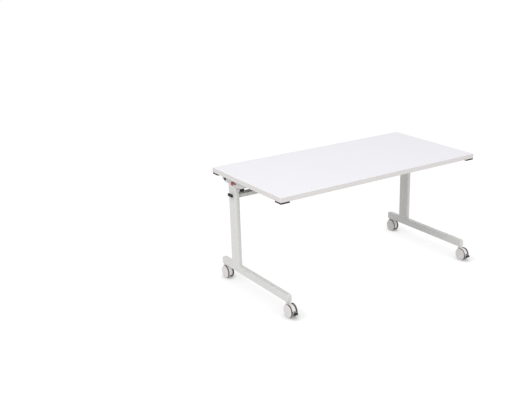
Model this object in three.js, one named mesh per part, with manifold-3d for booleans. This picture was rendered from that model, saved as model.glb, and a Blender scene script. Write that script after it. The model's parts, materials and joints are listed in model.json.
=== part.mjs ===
// Flip top training table on two offset T legs, in millimetres, +Z up.
// The long side runs along X, the user's edge faces -Y and the floor is Z = 0.
import * as THREE from 'three';
import { mergeVertices } from 'three/addons/utils/BufferGeometryUtils.js';
import Module from 'manifold-3d';

const wasm = await Module();
wasm.setup();

// Clearances of seats and of running fits
const GAP = 0.3;
const RUN = 0.5;

// Table top
const TOP_LENGTH = 1500;
const TOP_DEPTH = 750;
const TOP_HEIGHT = 725;
const TOP_THICK = 28;
const TOP_CORNER = 5;
const BAND_THICK = 2;
const BACKING_THICK = 1;

// Pads under the corners of the top
const PAD_SIZE = 62;
const PAD_THICK = 9.5;
const PAD_INSET = 1.5;
const PAD_CORNER = 5;
const PAD_RIM = 6;
const PAD_SUNK = 3.5;
const POCKET_CORNER = 8;
const INLAY_WIDTH = 8;
const INLAY_THICK = 2;
const INLAY_REACH = 36;

// Cable tray under the top
const TRAY_LENGTH = 1080;
const TRAY_OFFSET = 80;
const TRAY_FLANGE = 26;
const TRAY_WIDTH = 32;
const TRAY_FALL = 32;
const TRAY_DEPTH = 46;
const TRAY_LIP = 24;
const TRAY_SHEET = 2;
const TRAY_MITRE = 26;

// Legs
const LEG_INSET = 52;
const COLUMN_INSET = 162;
const COLUMN_WIDTH = 28;
const COLUMN_DEPTH = 85;
const COLUMN_CORNER = 8;
const COLUMN_WALL = 2.5;
const COLUMN_DROP = 48;
const HEAD_SPIGOT = 30;
const FOOT_WIDTH = 30;
const FOOT_HEIGHT = 45;
const FOOT_FRONT_SHY = 12;
const FOOT_REAR_SHY = 3.5;
const FOOT_WALL = 3;
const FOOT_NOSE = 7;
const FOOT_HEEL = 4;
const FOOT_EDGE = 1;

// Crossbar and the bumpers at its ends
const BAR_DEPTH = 50;
const BAR_HEIGHT = 25;
const BAR_DROP = 119;
const BAR_WALL = 2;
const BAR_CORNER = 3;
const BUMPER_LENGTH = 44;
const BUMPER_HEIGHT = 16;
const BUMPER_REACH = 20;
const BUMPER_AHEAD = 4;
const BUMPER_RISE = 7.5;
const BUMPER_CORNER = 5;
const BUMPER_EDGE = 1.5;

// Nesting arm and block on the right leg
const ARM_THICK = 4;
const ARM_HEIGHT = 23;
const ARM_DROP = 64.5;
const ARM_AHEAD = 28;
const ARM_OUT = 30;
const ARM_IN = 10;
const BLOCK_LENGTH = 20;

// Flip pivot and hinge bracket
const PIVOT_BEHIND = 18;
const PIVOT_DROP = 24;
const PIVOT_R = 6;
const PIVOT_CAP_R = 8.5;
const PIVOT_CAP = 7;
const PIVOT_NUT = 5;
const NUT_SIDES = 6;
const BARREL_R = 17;
const CHEEK_THICK = 3;
const CHEEK_OUTER_GAP = 4;
const CHEEK_INNER_GAP = 16;
const BRACKET_REACH = 260;
const BRACKET_TAIL = 36;
const BRACKET_LIP = 17;
const BRACKET_KNEE = 160;
const BRACKET_DEPTH = 50;
const KNEE_BLEND = 14;
const TAIL_DEPTH = 26;
const LOBE_R = 20;
const LOBE_START = Math.PI * 1.4;
const LOBE_END = Math.PI * 1.7;

// Latch hook, striker and release knob
const HOOK_AHEAD = 56;
const HOOK_DROP = 14.5;
const HOOK_INSIDE = 8;
const HOOK_THICK = 8;
const HOOK_HUB = 8;
const HOOK_SHAFT_R = 4;
const DRIVE_ARM = 13;
const DRIVE_R = 3;
const RELEASE_PULL = 7;
const STRIKER_DROP = 52;
const STRIKER_THICK = 8;
const STRIKER_WIDTH = 12;
const STRIKER_REACH = 16;
const CLAW_PLAY = 9;
const CLAW_GRIP = 2;
const CLAW_THICK = 11;
const KNOB_BEHIND = 62.5;
const KNOB_DROP = 30;
const KNOB_R = 12;
const KNOB_LENGTH = 8;
const KNOB_ROUND = 2;
const KNOB_NECK = 5;
const KNOB_STEM_R = 3;
const SLOT_LENGTH = 33;
const SLIDE_HEIGHT = 10;
const FORK_PRONG = 4;

// Gas strut inside each leg
const STRUT_INSIDE = 54;
const STRUT_LOW_BACK = 26;
const STRUT_LOW_DROP = 64;
const STRUT_UP_AHEAD = 155;
const STRUT_UP_DROP = 30;
const TUBE_R = 8;
const TUBE_BORE = 5.5;
const TUBE_LENGTH = 92;
const GLAND_R = 9.2;
const GLAND_LENGTH = 8;
const ROD_R = 4;
const PISTON_START = 18;
const PISTON_LENGTH = 6;
const EYE_R = 8;
const EYE_WIDTH = 17;
const EYE_WALL = 3;
const UPPER_EYE = 12;
const UPPER_CAP_R = 9;
const UPPER_CAP = 16;
const STRUT_PIN_R = 4;
const STRUT_PIN_HEAD = 5;

// Twin wheel casters
const WHEEL_R = 40;
const WHEEL_WIDTH = 10.5;
const TYRE_THICK = 7;
const TYRE_SHOULDER = 1.5;
const DISC_LIP = 2.5;
const DISC_SHY = 1;
const DISC_CROWN = 1.2;
const AXLE_R = 4;
const HOOD_WIDTH = 25;
const HOOD_EDGE = 2;
const HOOD_SHY = 3;
const HOOD_LIFT = 20;
const FENDER_REAR = Math.PI * 0.45;
const FENDER_FRONT = Math.PI * 0.9;
const TRAIL = 23;
const CASTER_RISE = 7;
const BOSS_R = 11.5;
const BOSS_HEIGHT = 11;
const STEM_R = 5;
const STEM_LENGTH = 30;
const STEM_INSET = 15;

// Brake pedal of a front caster
const NOSE_WIDTH = 16;
const PEDAL_BEHIND = 1;
const PEDAL_BELOW = 2;
const PEDAL_PIN_R = 2.5;
const PEDAL_EYE = 7;
const PEDAL_LUG = 8;
const PEDAL_WIDTH = 26;
const PEDAL_REACH = 20;
const PEDAL_SKIRT = 22;
const PEDAL_EDGE = 1;

// Sides of wheels, pins and small pins, and steps of a round corner and of a hood's arc
const WHEEL_SIDES = 24;
const PIN_SIDES = 16;
const SMALL_SIDES = 12;
const CORNER_STEPS = 2;
const HOOD_STEPS = 4;

// Distance under which corners are welded into one
const WELD = 1e-3;

// Places that follow from the sizes above
const UNDERSIDE = TOP_HEIGHT - TOP_THICK;
const FRONT_EDGE = -TOP_DEPTH / 2;
const REAR_EDGE = TOP_DEPTH / 2;
const LEG_X = TOP_LENGTH / 2 - LEG_INSET;
const COLUMN_Y = REAR_EDGE - COLUMN_INSET;
const COLUMN_FRONT = COLUMN_Y - COLUMN_DEPTH / 2;
const COLUMN_REAR = COLUMN_Y + COLUMN_DEPTH / 2;
const COLUMN_INNER = LEG_X - COLUMN_WIDTH / 2;
const COLUMN_OUTER = LEG_X + COLUMN_WIDTH / 2;
const COLUMN_TOP = UNDERSIDE - COLUMN_DROP;
const BAR_Z = UNDERSIDE - BAR_DROP;
const FOOT_BOTTOM = 2 * WHEEL_R + CASTER_RISE;
const FOOT_TOP = FOOT_BOTTOM + FOOT_HEIGHT;
const FOOT_FRONT = FRONT_EDGE + FOOT_FRONT_SHY;
const FOOT_REAR = REAR_EDGE - FOOT_REAR_SHY;
const STEM_FRONT = FOOT_FRONT + STEM_INSET;
const STEM_REAR = FOOT_REAR - STEM_INSET;
const PIVOT_Y = COLUMN_REAR + PIVOT_BEHIND;
const PIVOT_Z = UNDERSIDE - PIVOT_DROP;
const CHEEK_INNER = COLUMN_INNER - CHEEK_INNER_GAP - CHEEK_THICK;
const CHEEK_OUTER = COLUMN_OUTER + CHEEK_OUTER_GAP + CHEEK_THICK;
const WEB_TOP = UNDERSIDE - GAP;
const WEB_BOTTOM = WEB_TOP - CHEEK_THICK;
const HOOK_X = LEG_X - HOOK_INSIDE;
const HOOK_Y = COLUMN_FRONT - HOOK_AHEAD;
const HOOK_Z = UNDERSIDE - HOOK_DROP;
const DRIVE_Z = HOOK_Z - DRIVE_ARM;
const DRIVE_LIFT = DRIVE_ARM - Math.sqrt(DRIVE_ARM ** 2 - RELEASE_PULL ** 2);
const STRIKER_TOP = UNDERSIDE - STRIKER_DROP;
const KNOB_Y = HOOK_Y + KNOB_BEHIND;
const KNOB_Z = UNDERSIDE - KNOB_DROP;
const SLIDE_INNER = COLUMN_OUTER + RUN;
const SLIDE_OUTER = COLUMN_OUTER + CHEEK_OUTER_GAP - RUN;
const STRUT_X = LEG_X - STRUT_INSIDE;
const STRUT_LOW = new THREE.Vector2(COLUMN_Y + STRUT_LOW_BACK, UNDERSIDE - STRUT_LOW_DROP);
const STRUT_UP = new THREE.Vector2(PIVOT_Y - STRUT_UP_AHEAD, UNDERSIDE - STRUT_UP_DROP);
const STRUT_RUN = STRUT_UP.distanceTo(STRUT_LOW);
const STRUT_LEAN = STRUT_UP.clone().sub(STRUT_LOW).angle();
const WHEEL_IN = HOOD_WIDTH / 2 + RUN;
const PEDAL_Y = TRAIL + WHEEL_R - PEDAL_BEHIND;
const PEDAL_Z = WHEEL_R - PEDAL_BELOW;

// The origin sits under the middle of the whole table, pedals and wheels included
const REACH_FRONT = PEDAL_Y + PEDAL_REACH - STEM_FRONT;
const REACH_REAR = Math.max(REAR_EDGE, STEM_REAR - TRAIL + WHEEL_R);
const FRAME_SHIFT = (REACH_FRONT - REACH_REAR) / 2;

// Colour, roughness and metalness of each finish
const LOOKS = {
  laminate: [0xf2f2f6, 0.42, 0.0],
  band: [0xdcd9da, 0.5, 0.0],
  backing: [0x4b4b4c, 0.85, 0.0],
  paint: [0xd7d6d4, 0.5, 0.1],
  pressed: [0xd2d2d0, 0.48, 0.2],
  black: [0x1f1f20, 0.6, 0.0],
  red: [0xc8323a, 0.5, 0.0],
  steel: [0x2c2c2e, 0.4, 0.6],
  rod: [0x3c3d40, 0.28, 0.9],
  disc: [0xd6d2d1, 0.55, 0.0],
  tyre: [0x535355, 0.8, 0.0],
  hood: [0xe2e0df, 0.5, 0.0],
};

const table = new THREE.Group();
table.name = 'flip_top_table';

// Keeps positions only, welds shared corners and turns the faces outward
function clean(geometry) {
  const bare = new THREE.BufferGeometry();
  bare.setAttribute('position', geometry.getAttribute('position').clone());
  if (geometry.index) bare.setIndex(geometry.index.clone());
  const welded = mergeVertices(bare, WELD);
  const point = welded.getAttribute('position');
  const corners = Array.from(welded.index.array);
  const kept = [];
  const [a, b, c] = [new THREE.Vector3(), new THREE.Vector3(), new THREE.Vector3()];
  let volume = 0;
  for (let i = 0; i < corners.length; i += 3) {
    const [p, q, r] = corners.slice(i, i + 3);
    if (p === q || q === r || r === p) continue;
    a.fromBufferAttribute(point, p);
    b.fromBufferAttribute(point, q);
    c.fromBufferAttribute(point, r);
    volume += a.dot(b.cross(c));
    kept.push(p, q, r);
  }
  if (volume < 0) kept.reverse();
  welded.setIndex(kept);
  return welded;
}

// Turns a closed shape into a solid that can be joined and cut
function solid(geometry) {
  const mesh = clean(geometry);
  return new wasm.Manifold(new wasm.Mesh({
    numProp: 3,
    vertProperties: new Float32Array(mesh.getAttribute('position').array),
    triVerts: new Uint32Array(mesh.index.array),
  }));
}

// Turns a solid back into a shape
function shape(body) {
  const mesh = body.getMesh();
  const geometry = new THREE.BufferGeometry();
  geometry.setAttribute('position', new THREE.BufferAttribute(mesh.vertProperties, 3));
  geometry.setIndex(new THREE.BufferAttribute(mesh.triVerts, 1));
  return geometry;
}

// Joins shapes into one solid
function join(...geometries) {
  return geometries.map(solid).reduce((sum, other) => sum.add(other));
}

// Cuts shapes out of a solid
function cut(body, ...geometries) {
  return geometries.map(solid).reduce((left, other) => left.subtract(other), body);
}

// Makes the left hand copy of a right hand shape
function mirrored(geometry) {
  return clean(geometry.clone().applyMatrix4(new THREE.Matrix4().makeScale(-1, 1, 1)));
}

// Names a piece, gives it its finish and puts it in the table
function add(name, geometry, look) {
  const [color, roughness, metalness] = LOOKS[look];
  const body = clean(geometry).toNonIndexed();
  body.translate(0, FRAME_SHIFT, 0);
  body.computeVertexNormals();
  const mesh = new THREE.Mesh(body, new THREE.MeshStandardMaterial({ color, roughness, metalness }));
  mesh.name = name;
  table.add(mesh);
}

// Adds a right hand piece and its left hand twin
function addPair(name, geometry, look) {
  add(`left_${name}`, mirrored(geometry), look);
  add(`right_${name}`, geometry, look);
}

// Makes a block between two corners
function block(x0, x1, y0, y1, z0, z1) {
  const geometry = new THREE.BoxGeometry(x1 - x0, y1 - y0, z1 - z0);
  return geometry.translate((x0 + x1) / 2, (y0 + y1) / 2, (z0 + z1) / 2);
}

// Makes a round bar along X
function barX(radius, x0, x1, y, z, sides = PIN_SIDES) {
  const geometry = new THREE.CylinderGeometry(radius, radius, x1 - x0, sides);
  return geometry.rotateZ(Math.PI / 2).translate((x0 + x1) / 2, y, z);
}

// Makes a round bar along Z
function barZ(radius, x, y, z0, z1) {
  const geometry = new THREE.CylinderGeometry(radius, radius, z1 - z0, PIN_SIDES);
  return geometry.rotateX(Math.PI / 2).translate(x, y, (z0 + z1) / 2);
}

// Draws a rectangle with round corners about its middle
function roundRect(width, height, radius) {
  const [w, h] = [width / 2 - radius, height / 2 - radius];
  const path = new THREE.Shape();
  path.absarc(w, -h, radius, -Math.PI / 2, 0);
  path.absarc(w, h, radius, 0, Math.PI / 2);
  path.absarc(-w, h, radius, Math.PI / 2, Math.PI);
  path.absarc(-w, -h, radius, Math.PI, Math.PI * 1.5);
  return path;
}

// Draws a closed outline through plain points
function outline(points) {
  return new THREE.Shape(points.map(([y, z]) => new THREE.Vector2(y, z)));
}

// Raises a flat outline along Z
function raise(path, z0, z1) {
  const options = { depth: z1 - z0, bevelEnabled: false, curveSegments: CORNER_STEPS };
  return new THREE.ExtrudeGeometry(path, options).translate(0, 0, z0);
}

// Carries a side outline in Y and Z along X, with an optional rounded edge
function sweepX(path, x0, x1, edge = 0, curveSegments = CORNER_STEPS) {
  const geometry = new THREE.ExtrudeGeometry(path, {
    depth: x1 - x0 - 2 * edge,
    curveSegments,
    bevelEnabled: edge > 0,
    bevelSize: edge,
    bevelOffset: -edge,
    bevelThickness: edge,
    bevelSegments: 1,
  });
  geometry.applyMatrix4(new THREE.Matrix4().set(0, 0, 1, 0, 1, 0, 0, 0, 0, 1, 0, 0, 0, 0, 0, 1));
  return geometry.translate(x0 + edge, 0, 0);
}

// Turns a profile about the Y axis, its flats at the stated radius
function turnY(points, sides = PIN_SIDES) {
  const swell = 1 / Math.cos(Math.PI / sides);
  const profile = points.map(([radius, along]) => new THREE.Vector2(radius * swell, along));
  return new THREE.LatheGeometry(profile, sides, Math.PI / sides);
}

// Turns a profile about the X axis
function turnX(points, sides = PIN_SIDES) {
  return turnY(points, sides).rotateZ(-Math.PI / 2);
}

// Outline of the panel and its backing, inside the edge band
function panelOutline() {
  const inset = BAND_THICK + GAP;
  return roundRect(TOP_LENGTH - 2 * inset, TOP_DEPTH - 2 * inset, TOP_CORNER - inset);
}

// White panel of the top
function topPanel() {
  return raise(panelOutline(), UNDERSIDE + BACKING_THICK + GAP, TOP_HEIGHT);
}

// Dark backing sheet under the panel
function backingSheet() {
  return raise(panelOutline(), UNDERSIDE, UNDERSIDE + BACKING_THICK);
}

// Edge band round all four sides of the panel
function edgeBand() {
  const path = roundRect(TOP_LENGTH, TOP_DEPTH, TOP_CORNER);
  path.holes.push(roundRect(
    TOP_LENGTH - 2 * BAND_THICK,
    TOP_DEPTH - 2 * BAND_THICK,
    TOP_CORNER - BAND_THICK,
  ));
  return raise(path, UNDERSIDE, TOP_HEIGHT);
}

// Moves a piece drawn about a corner pad's middle into the right hand corner at one edge
function toCorner(geometry, sideY) {
  const reach = PAD_INSET + PAD_SIZE / 2;
  return geometry.translate(TOP_LENGTH / 2 - reach, sideY * (TOP_DEPTH / 2 - reach), 0);
}

// Black corner pad with a sunk face
function cornerPad() {
  const low = UNDERSIDE - GAP - PAD_THICK;
  const sunk = PAD_SIZE - 2 * PAD_RIM;
  const pad = join(raise(roundRect(PAD_SIZE, PAD_SIZE, PAD_CORNER), low, UNDERSIDE - GAP));
  return shape(cut(pad, raise(roundRect(sunk, sunk, POCKET_CORNER), low - RUN, low + PAD_SUNK)));
}

// Red bent strip that lies in the pad's sunk face, along its rear and inner sides
function padInlay() {
  const edge = PAD_SIZE / 2 - PAD_RIM - GAP;
  const path = new THREE.Shape();
  path.moveTo(-edge + INLAY_REACH, edge - INLAY_WIDTH);
  path.lineTo(-edge + INLAY_REACH, edge);
  path.absarc(-edge + POCKET_CORNER, edge - POCKET_CORNER, POCKET_CORNER, Math.PI / 2, Math.PI);
  path.lineTo(-edge, edge - INLAY_REACH);
  path.lineTo(-edge + INLAY_WIDTH, edge - INLAY_REACH);
  path.lineTo(-edge + INLAY_WIDTH, edge - INLAY_WIDTH);
  const floor = UNDERSIDE - GAP - PAD_THICK + PAD_SUNK - GAP;
  return raise(path, floor - INLAY_THICK, floor);
}

// Folded cable tray with mitred ends and a mouth along its rear
function cableTray() {
  const half = TRAY_LENGTH / 2;
  const rear = TRAY_OFFSET + TRAY_WIDTH;
  const tray = join(sweepX(outline([
    [TRAY_OFFSET - TRAY_FLANGE, WEB_TOP],
    [TRAY_OFFSET - TRAY_FLANGE, WEB_TOP - TRAY_SHEET],
    [TRAY_OFFSET - TRAY_SHEET, WEB_TOP - TRAY_SHEET],
    [TRAY_OFFSET - TRAY_SHEET, WEB_TOP - TRAY_FALL],
    [rear - TRAY_SHEET, WEB_TOP - TRAY_DEPTH],
    [rear, WEB_TOP - TRAY_DEPTH],
    [rear, WEB_TOP - TRAY_DEPTH + TRAY_LIP],
    [rear - TRAY_SHEET, WEB_TOP - TRAY_DEPTH + TRAY_LIP],
    [rear - TRAY_SHEET, WEB_TOP - TRAY_DEPTH + TRAY_SHEET],
    [TRAY_OFFSET, WEB_TOP - TRAY_FALL + TRAY_SHEET],
    [TRAY_OFFSET, WEB_TOP],
  ]), -half, half));
  const wedge = outline([
    [half, TRAY_OFFSET],
    [half + TRAY_WIDTH, TRAY_OFFSET],
    [half + TRAY_WIDTH, rear + GAP],
    [half - TRAY_MITRE, rear + GAP],
  ]);
  const end = raise(wedge, WEB_TOP - 2 * TRAY_DEPTH, WEB_TOP + TRAY_SHEET);
  return shape(cut(tray, end, mirrored(end)));
}

// Side outline of a bracket cheek: a taper to the knee, a lobe round the pivot and a short tail
function cheekOutline() {
  const front = PIVOT_Y - BRACKET_REACH;
  const knee = new THREE.Vector2(PIVOT_Y - BRACKET_KNEE, UNDERSIDE - BRACKET_DEPTH);
  const lip = new THREE.Vector2(front, UNDERSIDE - BRACKET_LIP);
  const into = lip.clone().sub(knee).setLength(KNEE_BLEND).add(knee);
  const path = new THREE.Shape();
  path.moveTo(front, WEB_TOP);
  path.lineTo(lip.x, lip.y);
  path.lineTo(into.x, into.y);
  path.quadraticCurveTo(knee.x, knee.y, knee.x + KNEE_BLEND, knee.y);
  path.absarc(PIVOT_Y, PIVOT_Z, LOBE_R, LOBE_START, LOBE_END);
  path.lineTo(PIVOT_Y + BRACKET_TAIL, UNDERSIDE - TAIL_DEPTH);
  path.lineTo(PIVOT_Y + BRACKET_TAIL, WEB_TOP);
  return path;
}

// Tapered channel that carries the top on the flip pivot
function hingeBracket() {
  const [front, rear] = [PIVOT_Y - BRACKET_REACH, PIVOT_Y + BRACKET_TAIL];
  const stud = STRUT_X + UPPER_EYE / 2 + 2 * RUN;
  const slot = roundRect(SLOT_LENGTH, 2 * (KNOB_STEM_R + GAP), KNOB_STEM_R);
  const slotY = KNOB_Y + KNOB_STEM_R + GAP - SLOT_LENGTH / 2;
  const channel = join(
    block(CHEEK_INNER, CHEEK_OUTER, front, rear, WEB_BOTTOM, WEB_TOP),
    sweepX(cheekOutline(), CHEEK_INNER, CHEEK_INNER + CHEEK_THICK),
    sweepX(cheekOutline(), CHEEK_OUTER - CHEEK_THICK, CHEEK_OUTER),
    barX(EYE_R, stud, CHEEK_INNER + CHEEK_THICK / 2, STRUT_UP.x, STRUT_UP.y),
  );
  return shape(cut(
    channel,
    barX(PIVOT_R + GAP, CHEEK_INNER - RUN, CHEEK_OUTER + RUN, PIVOT_Y, PIVOT_Z),
    barX(HOOK_SHAFT_R + GAP, CHEEK_INNER - RUN, CHEEK_OUTER + RUN, HOOK_Y, HOOK_Z),
    sweepX(slot, LEG_X, CHEEK_OUTER + RUN).translate(0, slotY, KNOB_Z),
  ));
}

// Headed pin through the bracket cheeks and the hinge head
function pivotPin() {
  const [inner, outer] = [CHEEK_INNER - RUN, CHEEK_OUTER + RUN];
  return shape(join(
    barX(PIVOT_R, inner - PIVOT_NUT / 2, outer + PIVOT_CAP / 2, PIVOT_Y, PIVOT_Z),
    barX(PIVOT_CAP_R, outer, outer + PIVOT_CAP, PIVOT_Y, PIVOT_Z),
    barX(PIVOT_CAP_R, inner - PIVOT_NUT, inner, PIVOT_Y, PIVOT_Z, NUT_SIDES),
  ));
}

// Upright flat oval tube of a leg with the latch striker on its front
function column() {
  const path = roundRect(COLUMN_WIDTH, COLUMN_DEPTH, COLUMN_CORNER);
  path.holes.push(roundRect(
    COLUMN_WIDTH - 2 * COLUMN_WALL,
    COLUMN_DEPTH - 2 * COLUMN_WALL,
    COLUMN_CORNER - COLUMN_WALL,
  ));
  const tube = raise(path, FOOT_TOP + GAP, COLUMN_TOP).translate(LEG_X, COLUMN_Y, 0);
  const striker = block(
    HOOK_X - STRIKER_WIDTH / 2,
    HOOK_X + STRIKER_WIDTH / 2,
    COLUMN_FRONT - STRIKER_REACH,
    COLUMN_FRONT + COLUMN_WALL / 2,
    STRIKER_TOP - STRIKER_THICK,
    STRIKER_TOP,
  );
  return shape(join(tube, striker));
}

// Cast head that plugs into the column, stops the top when flat and holds the pivot barrel
function hingeHead() {
  const rest = WEB_BOTTOM - GAP;
  const inset = COLUMN_WALL + GAP;
  const plug = roundRect(COLUMN_WIDTH - 2 * inset, COLUMN_DEPTH - 2 * inset, COLUMN_CORNER - inset);
  const arm = outline([
    [COLUMN_Y, COLUMN_TOP + GAP],
    [COLUMN_REAR, COLUMN_TOP + GAP],
    [PIVOT_Y, PIVOT_Z - BARREL_R],
    [PIVOT_Y, PIVOT_Z + BARREL_R],
    [COLUMN_Y, PIVOT_Z + BARREL_R],
  ]);
  const [inner, outer] = [CHEEK_INNER + CHEEK_THICK + RUN, CHEEK_OUTER - CHEEK_THICK - RUN];
  const head = join(
    raise(roundRect(COLUMN_WIDTH, COLUMN_DEPTH, COLUMN_CORNER), COLUMN_TOP + GAP, rest)
      .translate(LEG_X, COLUMN_Y, 0),
    raise(plug, COLUMN_TOP - HEAD_SPIGOT, COLUMN_TOP + COLUMN_WALL).translate(LEG_X, COLUMN_Y, 0),
    sweepX(arm, COLUMN_INNER + COLUMN_WALL, COLUMN_OUTER - COLUMN_WALL),
    barX(BARREL_R, inner, outer, PIVOT_Y, PIVOT_Z),
  );
  return shape(cut(head, barX(PIVOT_R + GAP, inner - RUN, outer + RUN, PIVOT_Y, PIVOT_Z)));
}

// Side outline of a foot, drawn in by its wall for the hollow
function footOutline(inset) {
  const [front, rear] = [FOOT_FRONT + inset, FOOT_REAR - inset];
  const [low, high] = [FOOT_BOTTOM + inset, FOOT_TOP - inset];
  const nose = Math.max(FOOT_NOSE - inset, FOOT_EDGE);
  const heel = Math.max(FOOT_HEEL - inset, FOOT_EDGE);
  const path = new THREE.Shape();
  path.absarc(front + heel, low + heel, heel, Math.PI, Math.PI * 1.5);
  path.absarc(rear - heel, low + heel, heel, Math.PI * 1.5, Math.PI * 2);
  path.absarc(rear - nose, high - nose, nose, 0, Math.PI / 2);
  path.absarc(front + nose, high - nose, nose, Math.PI / 2, Math.PI);
  return path;
}

// Hollow foot with a socket hole for each caster
function foot() {
  const half = FOOT_WIDTH / 2;
  const skin = sweepX(footOutline(0), LEG_X - half, LEG_X + half, FOOT_EDGE);
  const hollow = sweepX(footOutline(FOOT_WALL), LEG_X - half + FOOT_WALL, LEG_X + half - FOOT_WALL);
  const sockets = [STEM_FRONT, STEM_REAR].map(
    (y) => barZ(STEM_R + GAP, LEG_X, y, FOOT_BOTTOM - RUN, FOOT_BOTTOM + 2 * FOOT_WALL),
  );
  return shape(cut(join(skin), hollow, ...sockets));
}

// Flat tube between the two columns
function crossbar() {
  const half = COLUMN_INNER - GAP;
  const path = roundRect(BAR_DEPTH, BAR_HEIGHT, BAR_CORNER);
  path.holes.push(roundRect(BAR_DEPTH - 2 * BAR_WALL, BAR_HEIGHT - 2 * BAR_WALL, BAR_CORNER / 2));
  return sweepX(path, -half, half).translate(0, COLUMN_Y, BAR_Z);
}

// Black bumper on the outside of a column, level with the crossbar
function sideBumper() {
  const start = COLUMN_OUTER + GAP;
  const path = roundRect(BUMPER_LENGTH, BUMPER_HEIGHT, BUMPER_CORNER);
  const bar = sweepX(path, start, start + BUMPER_REACH, BUMPER_EDGE);
  return bar.translate(0, COLUMN_Y - BUMPER_AHEAD, BAR_Z + BUMPER_RISE);
}

// Bent arm on the outside of the right column, with a face across its front end
function nestArm() {
  const [start, front] = [COLUMN_OUTER + GAP, COLUMN_FRONT - ARM_AHEAD];
  const [low, high] = [UNDERSIDE - ARM_DROP - ARM_HEIGHT / 2, UNDERSIDE - ARM_DROP + ARM_HEIGHT / 2];
  return shape(join(
    block(start, start + ARM_THICK, front, COLUMN_Y, low, high),
    block(start - ARM_IN, start + ARM_OUT, front, front + ARM_THICK, low, high),
  ));
}

// Black block on the front face of the bent arm
function nestBlock() {
  const start = COLUMN_OUTER + GAP;
  const middle = COLUMN_FRONT - ARM_AHEAD - GAP - BLOCK_LENGTH / 2;
  const path = roundRect(BLOCK_LENGTH, ARM_HEIGHT, BUMPER_CORNER);
  const bar = sweepX(path, start - ARM_IN, start + ARM_OUT, BUMPER_EDGE);
  return bar.translate(0, middle, UNDERSIDE - ARM_DROP);
}

// Black latch hook with its cross shaft, and the drive pin that the release slide pulls
function latchHook() {
  const clawTop = STRIKER_TOP - STRIKER_THICK - CLAW_PLAY;
  const tip = COLUMN_FRONT - STRIKER_REACH + CLAW_GRIP;
  const low = clawTop - CLAW_THICK;
  const heel = tip - 2 * CLAW_THICK;
  const path = new THREE.Shape();
  path.absarc(HOOK_Y, HOOK_Z, HOOK_HUB, 0, Math.PI);
  path.quadraticCurveTo(HOOK_Y - HOOK_HUB, low, heel, low);
  path.lineTo(tip - CLAW_THICK / 2, low);
  path.quadraticCurveTo(tip, low, tip, clawTop);
  path.lineTo(heel, clawTop);
  path.quadraticCurveTo(HOOK_Y + HOOK_HUB, clawTop, HOOK_Y + HOOK_HUB, HOOK_Z);
  return shape(join(
    sweepX(path, HOOK_X - HOOK_THICK / 2, HOOK_X + HOOK_THICK / 2),
    barX(HOOK_SHAFT_R, CHEEK_INNER - RUN, CHEEK_OUTER + RUN, HOOK_Y, HOOK_Z),
    barX(DRIVE_R, HOOK_X, SLIDE_OUTER, HOOK_Y, DRIVE_Z, SMALL_SIDES),
  ));
}

// Release slide: a forked bar behind the outer cheek and a round knob outside it
function releaseKnob() {
  const notch = DRIVE_R + RUN;
  const prong = notch + FORK_PRONG;
  const [low, high] = [KNOB_Z - SLIDE_HEIGHT / 2, KNOB_Z + SLIDE_HEIGHT / 2];
  const forkTop = DRIVE_Z + DRIVE_LIFT + DRIVE_R;
  const forkFloor = DRIVE_Z - notch;
  const bar = outline([
    [HOOK_Y - prong, low],
    [KNOB_Y + SLIDE_HEIGHT / 2, low],
    [KNOB_Y + SLIDE_HEIGHT / 2, high],
    [HOOK_Y + prong, high],
    [HOOK_Y + prong, forkTop],
    [HOOK_Y + notch, forkTop],
    [HOOK_Y + notch, forkFloor],
    [HOOK_Y - notch, forkFloor],
    [HOOK_Y - notch, forkTop],
    [HOOK_Y - prong, forkTop],
  ]);
  const knob = turnX([
    [0, 0],
    [KNOB_R - KNOB_ROUND, 0],
    [KNOB_R, KNOB_ROUND],
    [KNOB_R, KNOB_LENGTH - KNOB_ROUND],
    [KNOB_R - KNOB_ROUND, KNOB_LENGTH],
    [0, KNOB_LENGTH],
  ]).translate(CHEEK_OUTER + KNOB_NECK, KNOB_Y, KNOB_Z);
  const stemEnd = CHEEK_OUTER + KNOB_NECK + KNOB_LENGTH / 2;
  return shape(join(
    sweepX(bar, SLIDE_INNER, SLIDE_OUTER),
    barX(KNOB_STEM_R, SLIDE_INNER, stemEnd, KNOB_Y, KNOB_Z, SMALL_SIDES),
    knob,
  ));
}

// Lays a strut piece, drawn along +Y from the lower pin, into the strut's line
function alongStrut(body) {
  return shape(body).rotateX(STRUT_LEAN).translate(STRUT_X, STRUT_LOW.x, STRUT_LOW.y);
}

// Strut cylinder with its lower eye, its bore and the gland round the rod
function strutTube() {
  const neck = TUBE_LENGTH - GLAND_LENGTH;
  const floor = EYE_R + EYE_WALL;
  const barrel = turnY([
    [0, EYE_R / 2],
    [TUBE_R, EYE_R / 2],
    [TUBE_R, neck],
    [GLAND_R, neck],
    [GLAND_R, TUBE_LENGTH],
    [ROD_R + GAP, TUBE_LENGTH],
    [ROD_R + GAP, neck],
    [TUBE_BORE, neck],
    [TUBE_BORE, floor],
    [0, floor],
  ]);
  const tube = join(barX(EYE_R, -EYE_WIDTH / 2, EYE_WIDTH / 2, 0, 0), barrel);
  return alongStrut(cut(tube, barX(STRUT_PIN_R + GAP, -EYE_WIDTH, EYE_WIDTH, 0, 0)));
}

// Strut rod with its piston, its upper eye and the cap on the eye's inner side
function strutRod() {
  const piston = TUBE_BORE - GAP;
  const rod = turnY([
    [0, PISTON_START],
    [piston, PISTON_START],
    [piston, PISTON_START + PISTON_LENGTH],
    [ROD_R, PISTON_START + PISTON_LENGTH],
    [ROD_R, STRUT_RUN - EYE_R / 2],
    [0, STRUT_RUN - EYE_R / 2],
  ]);
  return alongStrut(join(
    rod,
    barX(EYE_R, -UPPER_EYE / 2, UPPER_EYE / 2, STRUT_RUN, 0),
    barX(UPPER_CAP_R, -UPPER_EYE / 2 - UPPER_CAP, -UPPER_EYE / 2, STRUT_RUN, 0),
  ));
}

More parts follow.
